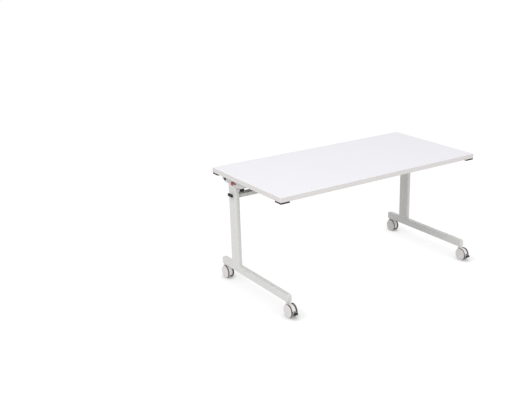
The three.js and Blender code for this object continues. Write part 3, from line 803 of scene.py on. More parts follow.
@dataclass(frozen=True)
class Finish:
    """One surface finish: a coloured coat with fine relief, rubbed edges and thin dust."""

    name: str
    slot: str | None
    colour: Colour
    roughness: float
    metallic: float = 0.0
    specular: float = 0.5
    tone_scale: float = 7.0
    tone: float = 0.03
    gloss_drift: float = 0.08
    grain: float = 900.0
    stretch: tuple[float, float, float] = (1.0, 1.0, 1.0)
    relief: float = 0.05 * MM
    wear: float = 0.15
    worn: Colour = (0.8, 0.8, 0.8)
    dust: float = 0.05
    coat: float = 0.0
    weave: Colour | None = None

    def material(self, effects: EffectLibrary) -> bpy.types.Material:
        """Builds the finish as a node material.

        Args:
            effects: Shared effect groups.

        Returns:
            The new material.
        """
        made = bpy.data.materials.new(self.name)
        made.use_nodes = True
        w = Wiring(made.node_tree)

        def effect(kind: Effect, **inputs: object) -> bpy.types.NodeOutputs:
            """Places a shared effect with its own values."""
            return w.add("Group", {"node_tree": effects.groups[kind]}, **inputs).outputs

        tone = effect(
            Effect.TONE, Color=(*self.colour, 1.0), Scale=self.tone_scale, Amount=self.tone
        )
        colour = tone["Color"]
        if self.weave:
            weave = effect(Effect.WEAVE)
            colour = w.blend(weave["Mask"], colour, (*self.weave, 1.0))
            height = weave["Height"]
        else:
            height = effect(Effect.GRAIN, Scale=self.grain, Stretch=self.stretch)["Height"]
        if self.wear:
            rubbed = effect(Effect.WEAR, Amount=self.wear)["Mask"]
            colour = w.blend(rubbed, colour, (*self.worn, 1.0))
        if self.dust:
            dusty = effect(Effect.DUST, Amount=self.dust)["Mask"]
            colour = w.blend(dusty, colour, (*DUST_COLOUR, 1.0))
        low, high = self.roughness - self.gloss_drift, self.roughness + self.gloss_drift
        bump = w.add("Bump", Strength=BUMP_STRENGTH, Distance=self.relief, Height=height)
        shader = w.add(
            "BsdfPrincipled",
            Base_Color=colour,
            Roughness=w.ramp(tone["Drift"], *NOISE_SPREAD, low, high),
            Metallic=self.metallic,
            Specular_IOR_Level=self.specular,
            Coat_Weight=self.coat,
            Coat_Roughness=COAT_ROUGHNESS,
            Normal=bump.outputs[0],
        )
        w.add("OutputMaterial", Surface=shader.outputs[0])
        return made


WHITE_LAMINATE = Finish(
    "white_laminate", "laminate", (0.865, 0.86, 0.905), 0.42,
    tone=0.008, grain=1400.0, relief=0.03 * MM, wear=0.0, dust=0.0,
)
EDGE_BAND = Finish(
    "pale_edge_band", "edge_band", (0.77, 0.744, 0.736), 0.45,
    tone=0.015, grain=420.0, stretch=(0.06, 0.06, 1.0), relief=0.02 * MM,
    wear=0.1, worn=(0.85, 0.84, 0.83), dust=0.0,
)
LINEN_BACKING = Finish(
    "linen_backing", "backing", (0.050, 0.050, 0.051), 0.72,
    tone=0.12, relief=0.06 * MM, wear=0.0, dust=0.0, weave=(0.105, 0.105, 0.107),
)
FRAME_PAINT = Finish(
    "frame_coat", "frame_paint", (0.785, 0.78, 0.763), 0.46,
    tone=0.012, grain=650.0, relief=0.03 * MM, wear=0.12,
)
BRACKET_PAINT = Finish(
    "bracket_coat", "bracket_paint", (0.73, 0.73, 0.715), 0.44,
    tone=0.015, grain=650.0, relief=0.03 * MM, wear=0.18,
)
BLACK_PAINT = Finish(
    "black_paint", "black_sheet", (0.012, 0.012, 0.013), 0.56, specular=0.2,
    tone=0.10, grain=600.0, relief=0.06 * MM, wear=0.10, worn=(0.10, 0.10, 0.10), dust=0.02,
)
BLACK_RUBBER = Finish(
    "moulded_black", "black_rubber", (0.016, 0.016, 0.017), 0.70,
    tone=0.12, grain=1100.0, relief=0.08 * MM, wear=0.16, worn=(0.09, 0.09, 0.09),
)
PAD_RUBBER = Finish(
    "dense_black", "black_rubber", (0.008, 0.008, 0.009), 0.72, specular=0.2,
    tone=0.12, grain=1100.0, relief=0.08 * MM, wear=0.08, worn=(0.06, 0.06, 0.06), dust=0.02,
)
RED_RUBBER = Finish(
    "moulded_red", "red_rubber", (0.46, 0.022, 0.035), 0.55,
    tone=0.06, grain=1100.0, relief=0.06 * MM, wear=0.12, worn=(0.60, 0.16, 0.16),
)
RED_PLASTIC = Finish(
    "satin_red", "red_plastic", (0.53, 0.022, 0.038), 0.36,
    tone=0.04, grain=1000.0, relief=0.03 * MM, wear=0.15, worn=(0.68, 0.20, 0.20),
)
BLACK_PLASTIC = Finish(
    "satin_black", "black_plastic", (0.014, 0.014, 0.015), 0.48,
    tone=0.10, grain=1200.0, relief=0.06 * MM, wear=0.2, worn=(0.10, 0.10, 0.10),
)
DARK_STEEL = Finish(
    "blackened_steel", "dark_steel", (0.045, 0.045, 0.048), 0.38, metallic=0.85,
    tone=0.10, grain=500.0, stretch=(0.1, 1.0, 1.0), relief=0.03 * MM,
    wear=0.25, worn=(0.30, 0.30, 0.30),
)
STRUT_PAINT = Finish(
    "strut_enamel", "strut_paint", (0.022, 0.022, 0.024), 0.30, coat=0.3,
    tone=0.08, grain=500.0, relief=0.02 * MM, wear=0.12, worn=(0.20, 0.20, 0.20),
)
ROD_STEEL = Finish(
    "polished_rod", "rod_steel", (0.09, 0.09, 0.095), 0.22, metallic=1.0,
    tone=0.05, relief=0.01 * MM, wear=0.0, dust=0.0,
)
ZINC_STEEL = Finish(
    "zinc_steel", None, (0.58, 0.58, 0.57), 0.32, metallic=1.0,
    tone=0.06, relief=0.02 * MM, wear=0.0, dust=0.0,
)
WHEEL_PLASTIC = Finish(
    "disc_plastic", "wheel_plastic", (0.822, 0.788, 0.779), 0.42,
    tone=0.02, grain=1200.0, relief=0.04 * MM,
)
HOOD_PLASTIC = Finish(
    "fender_plastic", "hood_plastic", (0.84, 0.815, 0.805), 0.40,
    tone=0.02, grain=1200.0, relief=0.04 * MM, wear=0.12,
)
GREY_TREAD = Finish(
    "tread_rubber", "grey_tread", (0.085, 0.082, 0.081), 0.62,
    tone=0.08, grain=800.0, relief=0.08 * MM, wear=0.2, worn=(0.20, 0.19, 0.19),
)


@dataclass(frozen=True)
class Part:
    """One right hand piece that has a twin on the left, named without its hand."""

    name: str
    form: Form
    finish: Finish
    body: str
    node: str | None = None


class Workshop:
    """Turns forms into finished pieces that ride on the frame."""

    def __init__(self) -> None:
        """Makes the shared effects."""
        self.effects = EffectLibrary()
        self.materials: dict[str, bpy.types.Material] = {}
        self.count = 0

    def material(self, finish: Finish) -> bpy.types.Material:
        """Gives a finish's material, made at its first use."""
        if finish.name not in self.materials:
            self.materials[finish.name] = finish.material(self.effects)
        return self.materials[finish.name]

    def piece(self, name: str, form: Form, finish: Finish, body: str, *replaced: str) -> None:
        """Makes one piece.

        Args:
            name: Name of the piece.
            form: Its shape in the table's frame.
            finish: Its surface finish.
            body: CAD body that it rides on.
            *replaced: CAD nodes that it stands for.
        """
        mesh = form.mesh(name)
        mesh.polygons.foreach_set("use_smooth", [True] * len(mesh.polygons))
        mesh.set_sharp_from_angle(angle=SHARP_ANGLE)
        mesh.materials.append(self.material(finish))
        made = placed(name, mesh)
        made.modifiers.new("weighted", "WEIGHTED_NORMAL").keep_sharp = True
        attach(made, body)
        if replaced:
            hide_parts(*replaced)
        self.count += 1
        shown = replaced or "no node"
        log.info("%s: %d faces on %s, for %s", name, len(mesh.polygons), body, shown)

    def both_hands(self, *parts: Part) -> None:
        """Makes each part on the left and on the right."""
        for side in Side:
            for part in parts:
                shared = part.body in SHARED_BODIES
                body = part.body if shared else f"{side.word}_{part.body}"
                replaced = [f"{side.word}_{part.node}"] if part.node else []
                form = part.form.handed(side)
                self.piece(f"{side.word}_{part.name}", form, part.finish, body, *replaced)


@dataclass(frozen=True)
class Screw:
    """Round headed screw with a cross recess, drawn along +Z from its seat."""

    radius: float
    height: float

    def form(self) -> Form:
        """Builds the head.

        Returns:
            The head, with its seat at Z = 0.
        """
        r, h = self.radius, self.height
        dome = ((r, 0), (r, 0.3 * h), (0.82 * r, 0.75 * h), (0.5 * r, h), (CORE * r, 1.05 * h))
        head = lathe(Axis.Z, Vector(), *dome, sides=SMALL_SIDES)
        arm, half = 0.55 * r, 0.13 * r
        cross = [
            prism(rectangle(Vector((-a, -b)), Vector((a, b))), 0.55 * h, 1.5 * h, Axis.Z)
            for a, b in ((arm, half), (half, arm))
        ]
        return combined(head, [combined(cross[0], cross[1:], Combine.JOIN)], Combine.CUT)

    def set_at(self, points: Iterable[Vector], facing: Facing) -> Form:
        """Sets a copy at each point, with its head toward a direction.

        Args:
            points: Seats of the screws.
            facing: Direction that the heads look in.

        Returns:
            All the heads as one form.
        """
        head = self.form()
        group = Form([], [])
        for at in points:
            group = group + head.moved(aimed(Vector(facing.value), at))
        return group


@dataclass
class TableTop:
    """White board, edge band, backing sheet, corner pads and rear stops."""

    corner: float = 5 * MM
    edge_round: float = 0.9 * MM
    board_round: float = 0.5 * MM
    band: float = 2 * MM
    pad_corner: float = 5 * MM
    pocket: float = 8 * MM
    pad_rim: float = 6 * MM
    pad_sunk: float = 3.5 * MM
    pad_round: float = 1.4 * MM
    pad_screw: Screw = Screw(2.6 * MM, 1.2 * MM)
    inlay: float = 8 * MM
    inlay_round: float = 0.5 * MM
    stop_inner: float = 583 * MM
    stop_length: float = 50 * MM
    stop_depth: float = 17 * MM
    stop_height: float = 15 * MM
    stop_inset: float = 5 * MM
    stop_corner: float = 4 * MM
    stop_seam: float = 0.5 * MM
    stop_round: float = 1.5 * MM

    def build(self, shop: Workshop) -> None:
        """Builds and dresses the top.

        Args:
            shop: Workshop that makes the pieces.
        """
        self.board(shop)
        for end in End:
            shop.both_hands(*self.pad(end))
        shop.both_hands(Part("rear_stop", self.stop(), BLACK_RUBBER, "tabletop"))

    def board(self, shop: Workshop) -> None:
        """Builds the board, its backing and its band.

        Args:
            shop: Workshop that makes the pieces.
        """
        edge = Box.of("edge_band")
        for node, name, finish in (
            ("top_panel", "white_board", WHITE_LAMINATE),
            ("backing_sheet", "linen_sheet", LINEN_BACKING),
        ):
            box = Box.of(node)
            corner = self.corner - (edge.hi.x - box.hi.x)
            outline = rectangle(box.lo.xy, box.hi.xy, corner)
            soft = min(self.board_round, (box.hi.z - box.lo.z) / 4)
            slab = prism(outline, box.lo.z, box.hi.z, Axis.Z, soft)
            shop.piece(name, slab, finish, "tabletop", node)
        low, high = edge.lo.z, edge.hi.z
        corners = flat((0, low), (0, high), (self.band, high), (self.band, low))
        rounds = [self.edge_round, self.edge_round, 0, 0]
        section = rounded(corners, rounds, steps=PROFILE_STEPS)
        band = nested(edge.lo, edge.hi, self.corner, section, wrap=True)
        shop.piece("edge_strip", band, EDGE_BAND, "tabletop", "edge_band")

    def pad(self, end: End) -> tuple[Part, ...]:
        """Corner pad at an end, with its red inlay and screws.

        Args:
            end: End of the table that the pad is at.

        Returns:
            The right hand pad, its inlay and its screws.
        """
        name = f"{end.word}_pad"
        box = Box.of(f"right_{end.word}_corner_pad")
        floor = box.lo.z + self.pad_sunk
        rim = flat((0, box.hi.z), (0, box.lo.z), (self.pad_rim, box.lo.z), (self.pad_rim, floor))
        section = rounded(rim, self.pad_round, False, PROFILE_STEPS)
        radii = [self.pad_corner if p.x < self.pad_rim / 2 else self.pocket for p in section]
        pad = nested(box.lo, box.hi, radii, section)
        strip = Box.of(f"right_{name}_inlay")
        lo, hi, w = strip.lo, strip.hi, self.inlay
        bent = flat(
            (hi.x, hi.y - w), (hi.x, hi.y), (lo.x, hi.y),
            (lo.x, lo.y), (lo.x + w, lo.y), (lo.x + w, hi.y - w),
        )
        outline = rounded(bent, [w / 2, w / 2, w, w / 2, w / 2, w / 4])
        inlay = prism(outline, lo.z, hi.z, Axis.Z, self.inlay_round)
        inset = Vector((w / 2, w / 2))
        ends = [Vector((*(hi.xy - inset), lo.z)), Vector((*(lo.xy + inset), lo.z))]
        screws = self.pad_screw.set_at(ends, Facing.DOWN)
        return (
            Part(name, pad, PAD_RUBBER, "tabletop", f"{end.word}_corner_pad"),
            Part(f"{end.word}_red_strip", inlay, RED_RUBBER, "tabletop", f"{name}_inlay"),
            Part(f"{name}_screws", screws, DARK_STEEL, "tabletop"),
        )

    def stop(self) -> Form:
        """Rubber stop under the rear edge.

        Returns:
            The right hand stop.
        """
        edge = Box.of("edge_band")
        rear, high = edge.hi.y - self.stop_inset, edge.lo.z
        lo = Vector((rear - self.stop_depth, high - self.stop_height))
        rounds = [self.stop_corner, self.stop_corner, self.stop_seam, self.stop_seam]
        face = rectangle(lo, Vector((rear, high)), rounds)
        outer = self.stop_inner + self.stop_length
        return prism(face, self.stop_inner, outer, Axis.X, self.stop_round)


@dataclass
class CableTray:
    """Folded black tray under the top, with its row of screws."""

    flange: float = 26 * MM
    fall: float = 32 * MM
    lip: float = 24 * MM
    sheet: float = 2 * MM
    bend: float = 4 * MM
    mitre: float = 26 * MM
    screw: Screw = Screw(4.6 * MM, 2.6 * MM)
    screw_pitch: float = 251 * MM
    screws_each_side: int = 2

    def build(self, shop: Workshop) -> None:
        """Builds and dresses the tray.

        Args:
            shop: Workshop that makes the pieces.
        """
        box = Box.of("cable_tray")
        half = self.sheet / 2
        wall = box.lo.y + self.flange
        high = box.hi.z - half
        rear = box.hi.y - half
        line = flat(
            (box.lo.y, high),
            (wall - half, high),
            (wall - half, box.hi.z - self.fall),
            (rear, box.lo.z + half),
            (rear, box.lo.z + self.lip),
        )
        outline = folded(rounded(line, self.bend, closed=False), self.sheet)
        slant = self.mitre / (box.hi.y - wall)
        rings = [
            [Vector((sign * (box.hi.x - slant * max(p.x - wall, 0)), p.x, p.y)) for p in outline]
            for sign in (-1, 1)
        ]
        tray = loft(rings)
        last = len(outline) - 1
        ends = [(i, i + 1, last - i - 1, last - i) for i in range(len(outline) // 2 - 1)]
        tray.faces[-2:] = ends + [tuple(k + len(outline) for k in end) for end in ends]
        tray = softened(tray, FINE_EDGE, FOLD_STEPS)
        shop.piece("folded_tray", tray, BLACK_PAINT, "tabletop", "cable_tray")
        middle = box.lo.y + self.flange / 2
        reach = range(-self.screws_each_side, self.screws_each_side + 1)
        seat = box.hi.z - self.sheet
        points = [Vector((k * self.screw_pitch, middle, seat)) for k in reach]
        shop.piece("tray_screws", self.screw.set_at(points, Facing.DOWN), ZINC_STEEL, "tabletop")


@dataclass
class HingeBracket:
    """Tapered folded channel under the top, with its pivot, head, latch and release knob."""

    width: float = 54 * MM
    sheet: float = 3 * MM
    sheet_edge: float = 0.5 * MM
    bend: float = 5 * MM
    reach: float = 260 * MM
    tail: float = 36 * MM
    lip: float = 17 * MM
    knee: float = 160 * MM
    depth: float = 50 * MM
    knee_round: float = 88 * MM
    tail_depth: float = 26 * MM
    lobe: float = 20 * MM
    lobe_turn: tuple[float, float] = (1.4 * math.pi, 1.7 * math.pi)
    screw: Screw = Screw(5 * MM, 2.4 * MM)
    screw_places: tuple[float, ...] = (-230 * MM, -180 * MM, 24 * MM)
    knob_behind: float = 62.5 * MM
    knob_fall: float = 15.5 * MM
    knob_gap: float = 5 * MM
    cap_start: float = 0.58
    slot_length: float = 33 * MM
    slot_half: float = 3.3 * MM
    slot_round: float = 0.98
    strut_ahead: float = 155 * MM
    strut_drop: float = 30 * MM
    stud: float = 8 * MM
    stud_gap: float = 7 * MM
    barrel: float = 17 * MM
    head_corner: float = 8 * MM
    web_inset: float = 2.5 * MM
    pin: float = 6.3 * MM
    shaft: float = 4 * MM
    rivet: tuple[tuple[float, float], ...] = (
        (0.6, 1.6 * MM), (1.5, 1 * MM), (1.6, 0.0), (1.0, 0.0),
    )
    hub: float = 8 * MM
    claw: float = 13 * MM
    claw_drop: float = 17 * MM
    claw_reach: float = 2 * MM
    tip_steps: int = 10
    blade_half: float = 4 * MM
    drive_pin: float = 3 * MM
    drive_drop: float = 13 * MM
    fork_half: float = 7.5 * MM
    notch_half: float = 3.5 * MM
    fork_top: float = -8 * MM
    bar_high: float = -10.5 * MM
    notch_floor: float = -16.5 * MM
    bar_low: float = -20.5 * MM
    bar_behind: float = 5 * MM
    bar_sheet: float = 3 * MM

    def __post_init__(self) -> None:
        """Reads the places that the frame gives."""
        box = Box.of("right_hinge_bracket")
        knob = Box.of("right_release_knob")
        self.outer = box.hi.x
        self.inner = box.hi.x - self.width
        self.top = box.hi.z
        self.under = Box.of("backing_sheet").lo.z
        self.pivot = joint_point("top_flip")
        self.hook = joint_point("right_latch_swing")
        self.strut_low = joint_point("right_strut_swing")
        self.strut_high = Vector(
            (self.strut_low.x, self.pivot.y - self.strut_ahead, self.under - self.strut_drop)
        )
        seat = self.outer + self.knob_gap
        self.knob = Vector((seat, self.hook.y + self.knob_behind, self.hook.z - self.knob_fall))
        self.knob_radius = knob.hi.z - self.knob.z
        self.knob_length = knob.hi.x - seat

    def build(self, shop: Workshop) -> None:
        """Builds and dresses both hinges."""
        shop.both_hands(
            Part("channel", self.channel(), BRACKET_PAINT, "tabletop", "hinge_bracket"),
            Part("bracket_screws", self.screws(), ZINC_STEEL, "tabletop"),
            Part("pivot_bolt", self.bolt(), DARK_STEEL, "base", "pivot_pin"),
            Part("cast_head", self.head(), BRACKET_PAINT, "base", "hinge_head"),
            Part("hook", self.latch(), BLACK_PAINT, "latch", "latch_hook"),
            Part("knob", self.red_cap(), RED_PLASTIC, "release", "release_knob"),
            Part("knob_collar", self.collar(), ZINC_STEEL, "release"),
            Part("slide_bar", self.slide(), BLACK_PLASTIC, "release"),
        )

    def lower_edge(self) -> Outline:
        """Lower edge of a cheek from the front lip to the tail, as (Y, Z).

        Returns:
            The points of the edge.
        """
        pivot = self.pivot.yz
        front = Vector((pivot.x - self.reach, self.under - self.lip))
        knee = Vector((pivot.x - self.knee, self.under - self.depth))
        lobe = arc(pivot, self.lobe, *self.lobe_turn)
        taper = rounded([front, knee, lobe[0]], self.knee_round, closed=False)
        tail = Vector((pivot.x + self.tail, self.under - self.tail_depth))
        return taper[:-1] + lobe + [tail]

    def channel(self) -> Form:
        """Folded channel with its slot, its holes and the stud for the strut.

        Returns:
            The right hand channel.
        """
        t = self.sheet
        near, far, top = self.inner, self.outer, self.top
        rings = []
        for y, z in self.lower_edge():
            outside = flat((near, z), (near, top), (far, top), (far, z))
            inside = flat((far - t, z), (far - t, top - t), (near + t, top - t), (near + t, z))
            section = rounded(outside, self.bend, closed=False)
            section += rounded(inside, self.bend - t, closed=False)
            rings.append([Axis.Y.point(y, p) for p in section])
        half = Vector((self.slot_length / 2, self.slot_half))
        middle = self.knob.yz + Vector((self.slot_half - self.slot_length / 2, 0))
        slot = rectangle(middle - half, middle + half, self.slot_round * self.slot_half)
        cuts = [prism(slot, far - 2 * t, far + t, Axis.X)]
        for at, radius in ((self.pivot, self.pin), (self.hook, self.shaft)):
            cuts.append(prism(circle(at.yz, radius), near - t, far + t, Axis.X))
        sheet = softened(combined(loft(rings), cuts, Combine.CUT), self.sheet_edge, FOLD_STEPS)
        start = self.strut_high.x + self.stud_gap
        stud = lathe(
            Axis.X,
            Vector((0, *self.strut_high.yz)),
            (self.stud - CHAMFER, start),
            (self.stud, start + CHAMFER),
            (self.stud, near + t / 2),
        )
        return combined(sheet, [stud], Combine.JOIN)

    def screws(self) -> Form:
        """Screws that hold the channel's web to the top.

        Returns:
            The right hand screws.
        """
        middle = (self.inner + self.outer) / 2
        low = self.top - self.sheet
        points = [Vector((middle, self.pivot.y + along, low)) for along in self.screw_places]
        return self.screw.set_at(points, Facing.DOWN)

    def bolt(self) -> Form:
        """Pivot pin with a domed cap outside and a nut inside.

        Returns:
            The right hand bolt and its nut.
        """
        box = Box.of("right_pivot_pin")
        pin = self.pin - PLAY
        cap = (box.hi.z - box.lo.z) / 2
        start = self.outer + CLEARANCE
        end = box.hi.x - start
        bolt = lathe(
            Axis.X,
            Vector((start, *self.pivot.yz)),
            (pin, -self.width), (pin, 0), (cap - 0.5 * MM, 0), (cap, 0.5 * MM),
            (cap, 0.55 * end), (0.86 * cap, 0.85 * end), (0.55 * cap, end), (0.4 * cap, end),
            (0.38 * cap, 0.45 * end), (CORE * cap, 0.45 * end),
        )
        hexagon = circle(self.pivot.yz, cap, 6)
        nut = prism(hexagon, box.lo.x, self.inner - CLEARANCE, Axis.X, EASED_EDGE)
        return bolt + nut

    def head(self) -> Form:
        """Cast head on the column, with the barrel round the pivot.

        Returns:
            The right hand head.
        """
        column = Box.of("right_column")
        lo, hi = column_corners()
        low, high = column.hi.z + PLAY, Box.of("right_hinge_head").hi.z
        block = prism(rectangle(lo, hi, self.head_corner), low, high, Axis.Z, CAST_EDGE)
        r, middle = self.barrel, column.mid.y
        y, z = self.pivot.yz
        arm = flat((middle, low), (hi.y, low), (y, z - r), (y, z + r), (middle, z + r))
        web = prism(arm, lo.x + self.web_inset, hi.x - self.web_inset, Axis.X, CAST_EDGE)
        gap = self.sheet + CLEARANCE
        near, far = self.inner + gap, self.outer - gap
        barrel = lathe(
            Axis.X,
            Vector((0, y, z)),
            (r - CHAMFER, near), (r, near + CHAMFER), (r, far - CHAMFER), (r - CHAMFER, far),
        )
        return combined(block, [web, barrel], Combine.JOIN)

    def latch(self) -> Form:
        """Hook, its riveted cross shaft and its drive pin.

        Returns:
            The right hand latch.
        """
        x, y, z = self.hook
        column = Box.of("right_column")
        hub, claw = self.hub, self.claw
        top = column.hi.z - self.claw_drop
        low = top - claw
        tip = column.lo.y + self.claw_reach
        outline = arc(Vector((y, z)), hub, 0, math.pi, CURVE_STEPS)
        outline += swept(flat((y - hub, z), (y - hub, low), (tip - 2 * claw, low)))[1:]
        outline += swept(flat((tip - claw / 2, low), (tip, low), (tip, top)), self.tip_steps)
        outline += swept(flat((tip - claw / 3, top), (y + hub, top), (y + hub, z)))[:-1]
        blade = prism(outline, x - self.blade_half, x + self.blade_half, Axis.X, SOFT_EDGE)
        r = self.shaft - PLAY
        near, far = self.inner - CLEARANCE, self.outer + CLEARANCE
        ends = [(share * r, near - rise) for share, rise in self.rivet]
        ends += [(share * r, far + rise) for share, rise in reversed(self.rivet)]
        shaft = lathe(Axis.X, Vector((0, y, z)), *ends)
        pin = lathe(
            Axis.X,
            Vector((0, y, z - self.drive_drop)),
            (self.drive_pin, x),
            (self.drive_pin, self.outer - self.sheet - CLEARANCE),
        )
        return combined(blade, [shaft, pin], Combine.JOIN)

    def red_cap(self) -> Form:
        """Round red cap of the knob, with a soft rim and a dished face.

        Returns:
            The right hand cap.
        """
        r, end = self.knob_radius, self.knob_length
        start = self.cap_start * end
        return lathe(
            Axis.X,
            self.knob,
            (CORE * r, start), (r - 0.4 * MM, start, 0.3 * MM), (r, start + 0.4 * MM, 0.3 * MM),
            (r, end, 1.6 * MM), (0.72 * r, end, 0.6 * MM), (0.66 * r, end - 0.8 * MM, 0.6 * MM),
            (CORE * r, end - 0.5 * MM),
            sides=ROUND_SIDES,
        )

    def collar(self) -> Form:
        """Turned collar that carries the red cap, with a grip groove.

        Returns:
            The right hand collar.
        """
        stem, end = 2.6 * MM, self.cap_start * self.knob_length
        face = end - 0.1 * MM
        rim = self.knob_radius - 0.8 * MM
        return lathe(
            Axis.X,
            self.knob,
            (stem, -4.5 * MM), (stem, 0), (rim, 0, 0.8 * MM), (rim, 0.4 * end, 0.2 * MM),
            (rim - 0.6 * MM, 0.5 * end, 0.2 * MM), (rim, 0.6 * end, 0.2 * MM),
            (rim, face, 0.3 * MM), (CORE * self.knob_radius, face),
            sides=ROUND_SIDES,
        )

    def slide(self) -> Form:
        """Forked bar behind the outer cheek, with the stem of the knob.

        Returns:
            The right hand bar.
        """
        fork, notch, rear = self.fork_half, self.notch_half, self.knob_behind + self.bar_behind
        low, high, top, floor = self.bar_low, self.bar_high, self.fork_top, self.notch_floor
        corners = flat(
            (-fork, low), (rear, low), (rear, high), (fork, high), (fork, top),
            (notch, top), (notch, floor), (-notch, floor), (-notch, top), (-fork, top),
        )
        outline = [self.hook.yz + corner for corner in corners]
        face = self.outer - self.sheet - CLEARANCE
        bar = prism(outline, face - self.bar_sheet, face, Axis.X, FINE_EDGE, FOLD_STEPS)
        stem = lathe(
            Axis.X,
            Vector((0, *self.knob.yz)),
            (self.drive_pin, face - 2 * MM),
            (self.drive_pin, self.knob.x + CLEARANCE),
        )
        return combined(bar, [stem], Combine.JOIN)


@dataclass
class GasStrut:
    """Gas strut on the inside of each leg: cylinder, rod and lower pin."""

    tube: float = 8 * MM
    neck: float = 7.3 * MM
    length: float = 92 * MM
    gland: float = 9.2 * MM
    gland_length: float = 8 * MM
    rod: float = 4 * MM
    eye: float = 8 * MM
    eye_width: float = 17 * MM
    upper_eye: float = 12 * MM
    cap: float = 9 * MM
    cap_length: float = 16 * MM

    def build(self, shop: Workshop, bracket: HingeBracket) -> None:
        """Builds and dresses both struts.

        Args:
            shop: Workshop that makes the pieces.
            bracket: Hinge that holds the struts' ends.
        """
        low, high = bracket.strut_low, bracket.strut_high
        run = high - low
        lay = aimed(run.normalized(), low)
        tube, rod = self.cylinder().moved(lay), self.piston(run.length).moved(lay)
        shop.both_hands(
            Part("cylinder", tube, STRUT_PAINT, "strut_cylinder", "strut_tube"),
            Part("rod", rod, ROD_STEEL, "strut_piston"),
            Part("rod_end", self.rod_end(high), BLACK_PLASTIC, "strut_piston", "strut_rod"),
            Part("strut_bolt", self.pin(low), DARK_STEEL, "base", "strut_pin"),
        )

    def cylinder(self) -> Form:
        """Tube with its lower eye, a rolled neck and the gland, along +Z.

        Returns:
            The cylinder, with its lower eye at the origin.
        """
        tube, neck, gland, eye = self.tube, self.neck, self.gland, self.eye
        top = self.length
        seam = top - self.gland_length
        barrel = lathe(
            Axis.Z,
            Vector(),
            (0.5 * tube, 0.4 * eye), (tube, 0.9 * eye, 2 * MM), (tube, seam - 5 * MM, 0.4 * MM),
            (neck, seam - 4 * MM, 0.3 * MM), (neck, seam - 2 * MM, 0.3 * MM),
            (tube, seam - 1 * MM, 0.3 * MM), (tube, seam), (gland, seam, 0.6 * MM),
            (gland, top, 1 * MM), (self.rod + PLAY, top),
            sides=ROUND_SIDES,
        )
        half, inner = self.eye_width / 2, eye - SOFT_EDGE
        flank = half - SOFT_EDGE
        ring = lathe(Axis.X, Vector(), (inner, -half), (eye, -flank), (eye, flank), (inner, half))
        return combined(barrel, [ring], Combine.JOIN)

    def piston(self, run: float) -> Form:
        """Polished rod from the gland to the upper eye, along +Z."""
        ends = (self.rod, self.length - self.gland_length), (self.rod, run - 0.6 * self.eye)
        return lathe(Axis.Z, Vector(), *ends, sides=ROUND_SIDES)

    def rod_end(self, high: Vector) -> Form:
        """Upper eye and the black cap on its inner side.

        Args:
            high: Middle of the upper eye.

        Returns:
            The right hand rod end.
        """
        eye, cap, half = self.eye, self.cap, self.upper_eye / 2
        end = -half - self.cap_length
        return lathe(
            Axis.X,
            high,
            (0.4 * cap, end), (cap, end, 3 * MM), (cap, -half, 0.5 * MM),
            (eye, -half), (eye, half, 1 * MM), (0.4 * eye, half),
            sides=ROUND_SIDES,
        )

    def pin(self, low: Vector) -> Form:
        """Shouldered pin from the column through the lower eye.

        Args:
            low: Middle of the lower eye.

        Returns:
            The right hand pin.
        """
        box = Box.of("right_strut_pin")
        eye, core = self.eye, 0.3 * self.eye
        half = self.eye_width / 2 + CLEARANCE
        near, far = low.x - half, low.x + half
        return lathe(
            Axis.X,
            Vector((0, low.y, low.z)),
            (core, box.lo.x), (eye, box.lo.x, 1.5 * MM), (eye, near, 0.5 * MM), (self.rod, near),
            (self.rod, far), (eye, far, 1 * MM), (eye, box.hi.x, 0.3 * MM), (core, box.hi.x),
            sides=ROUND_SIDES,
        )


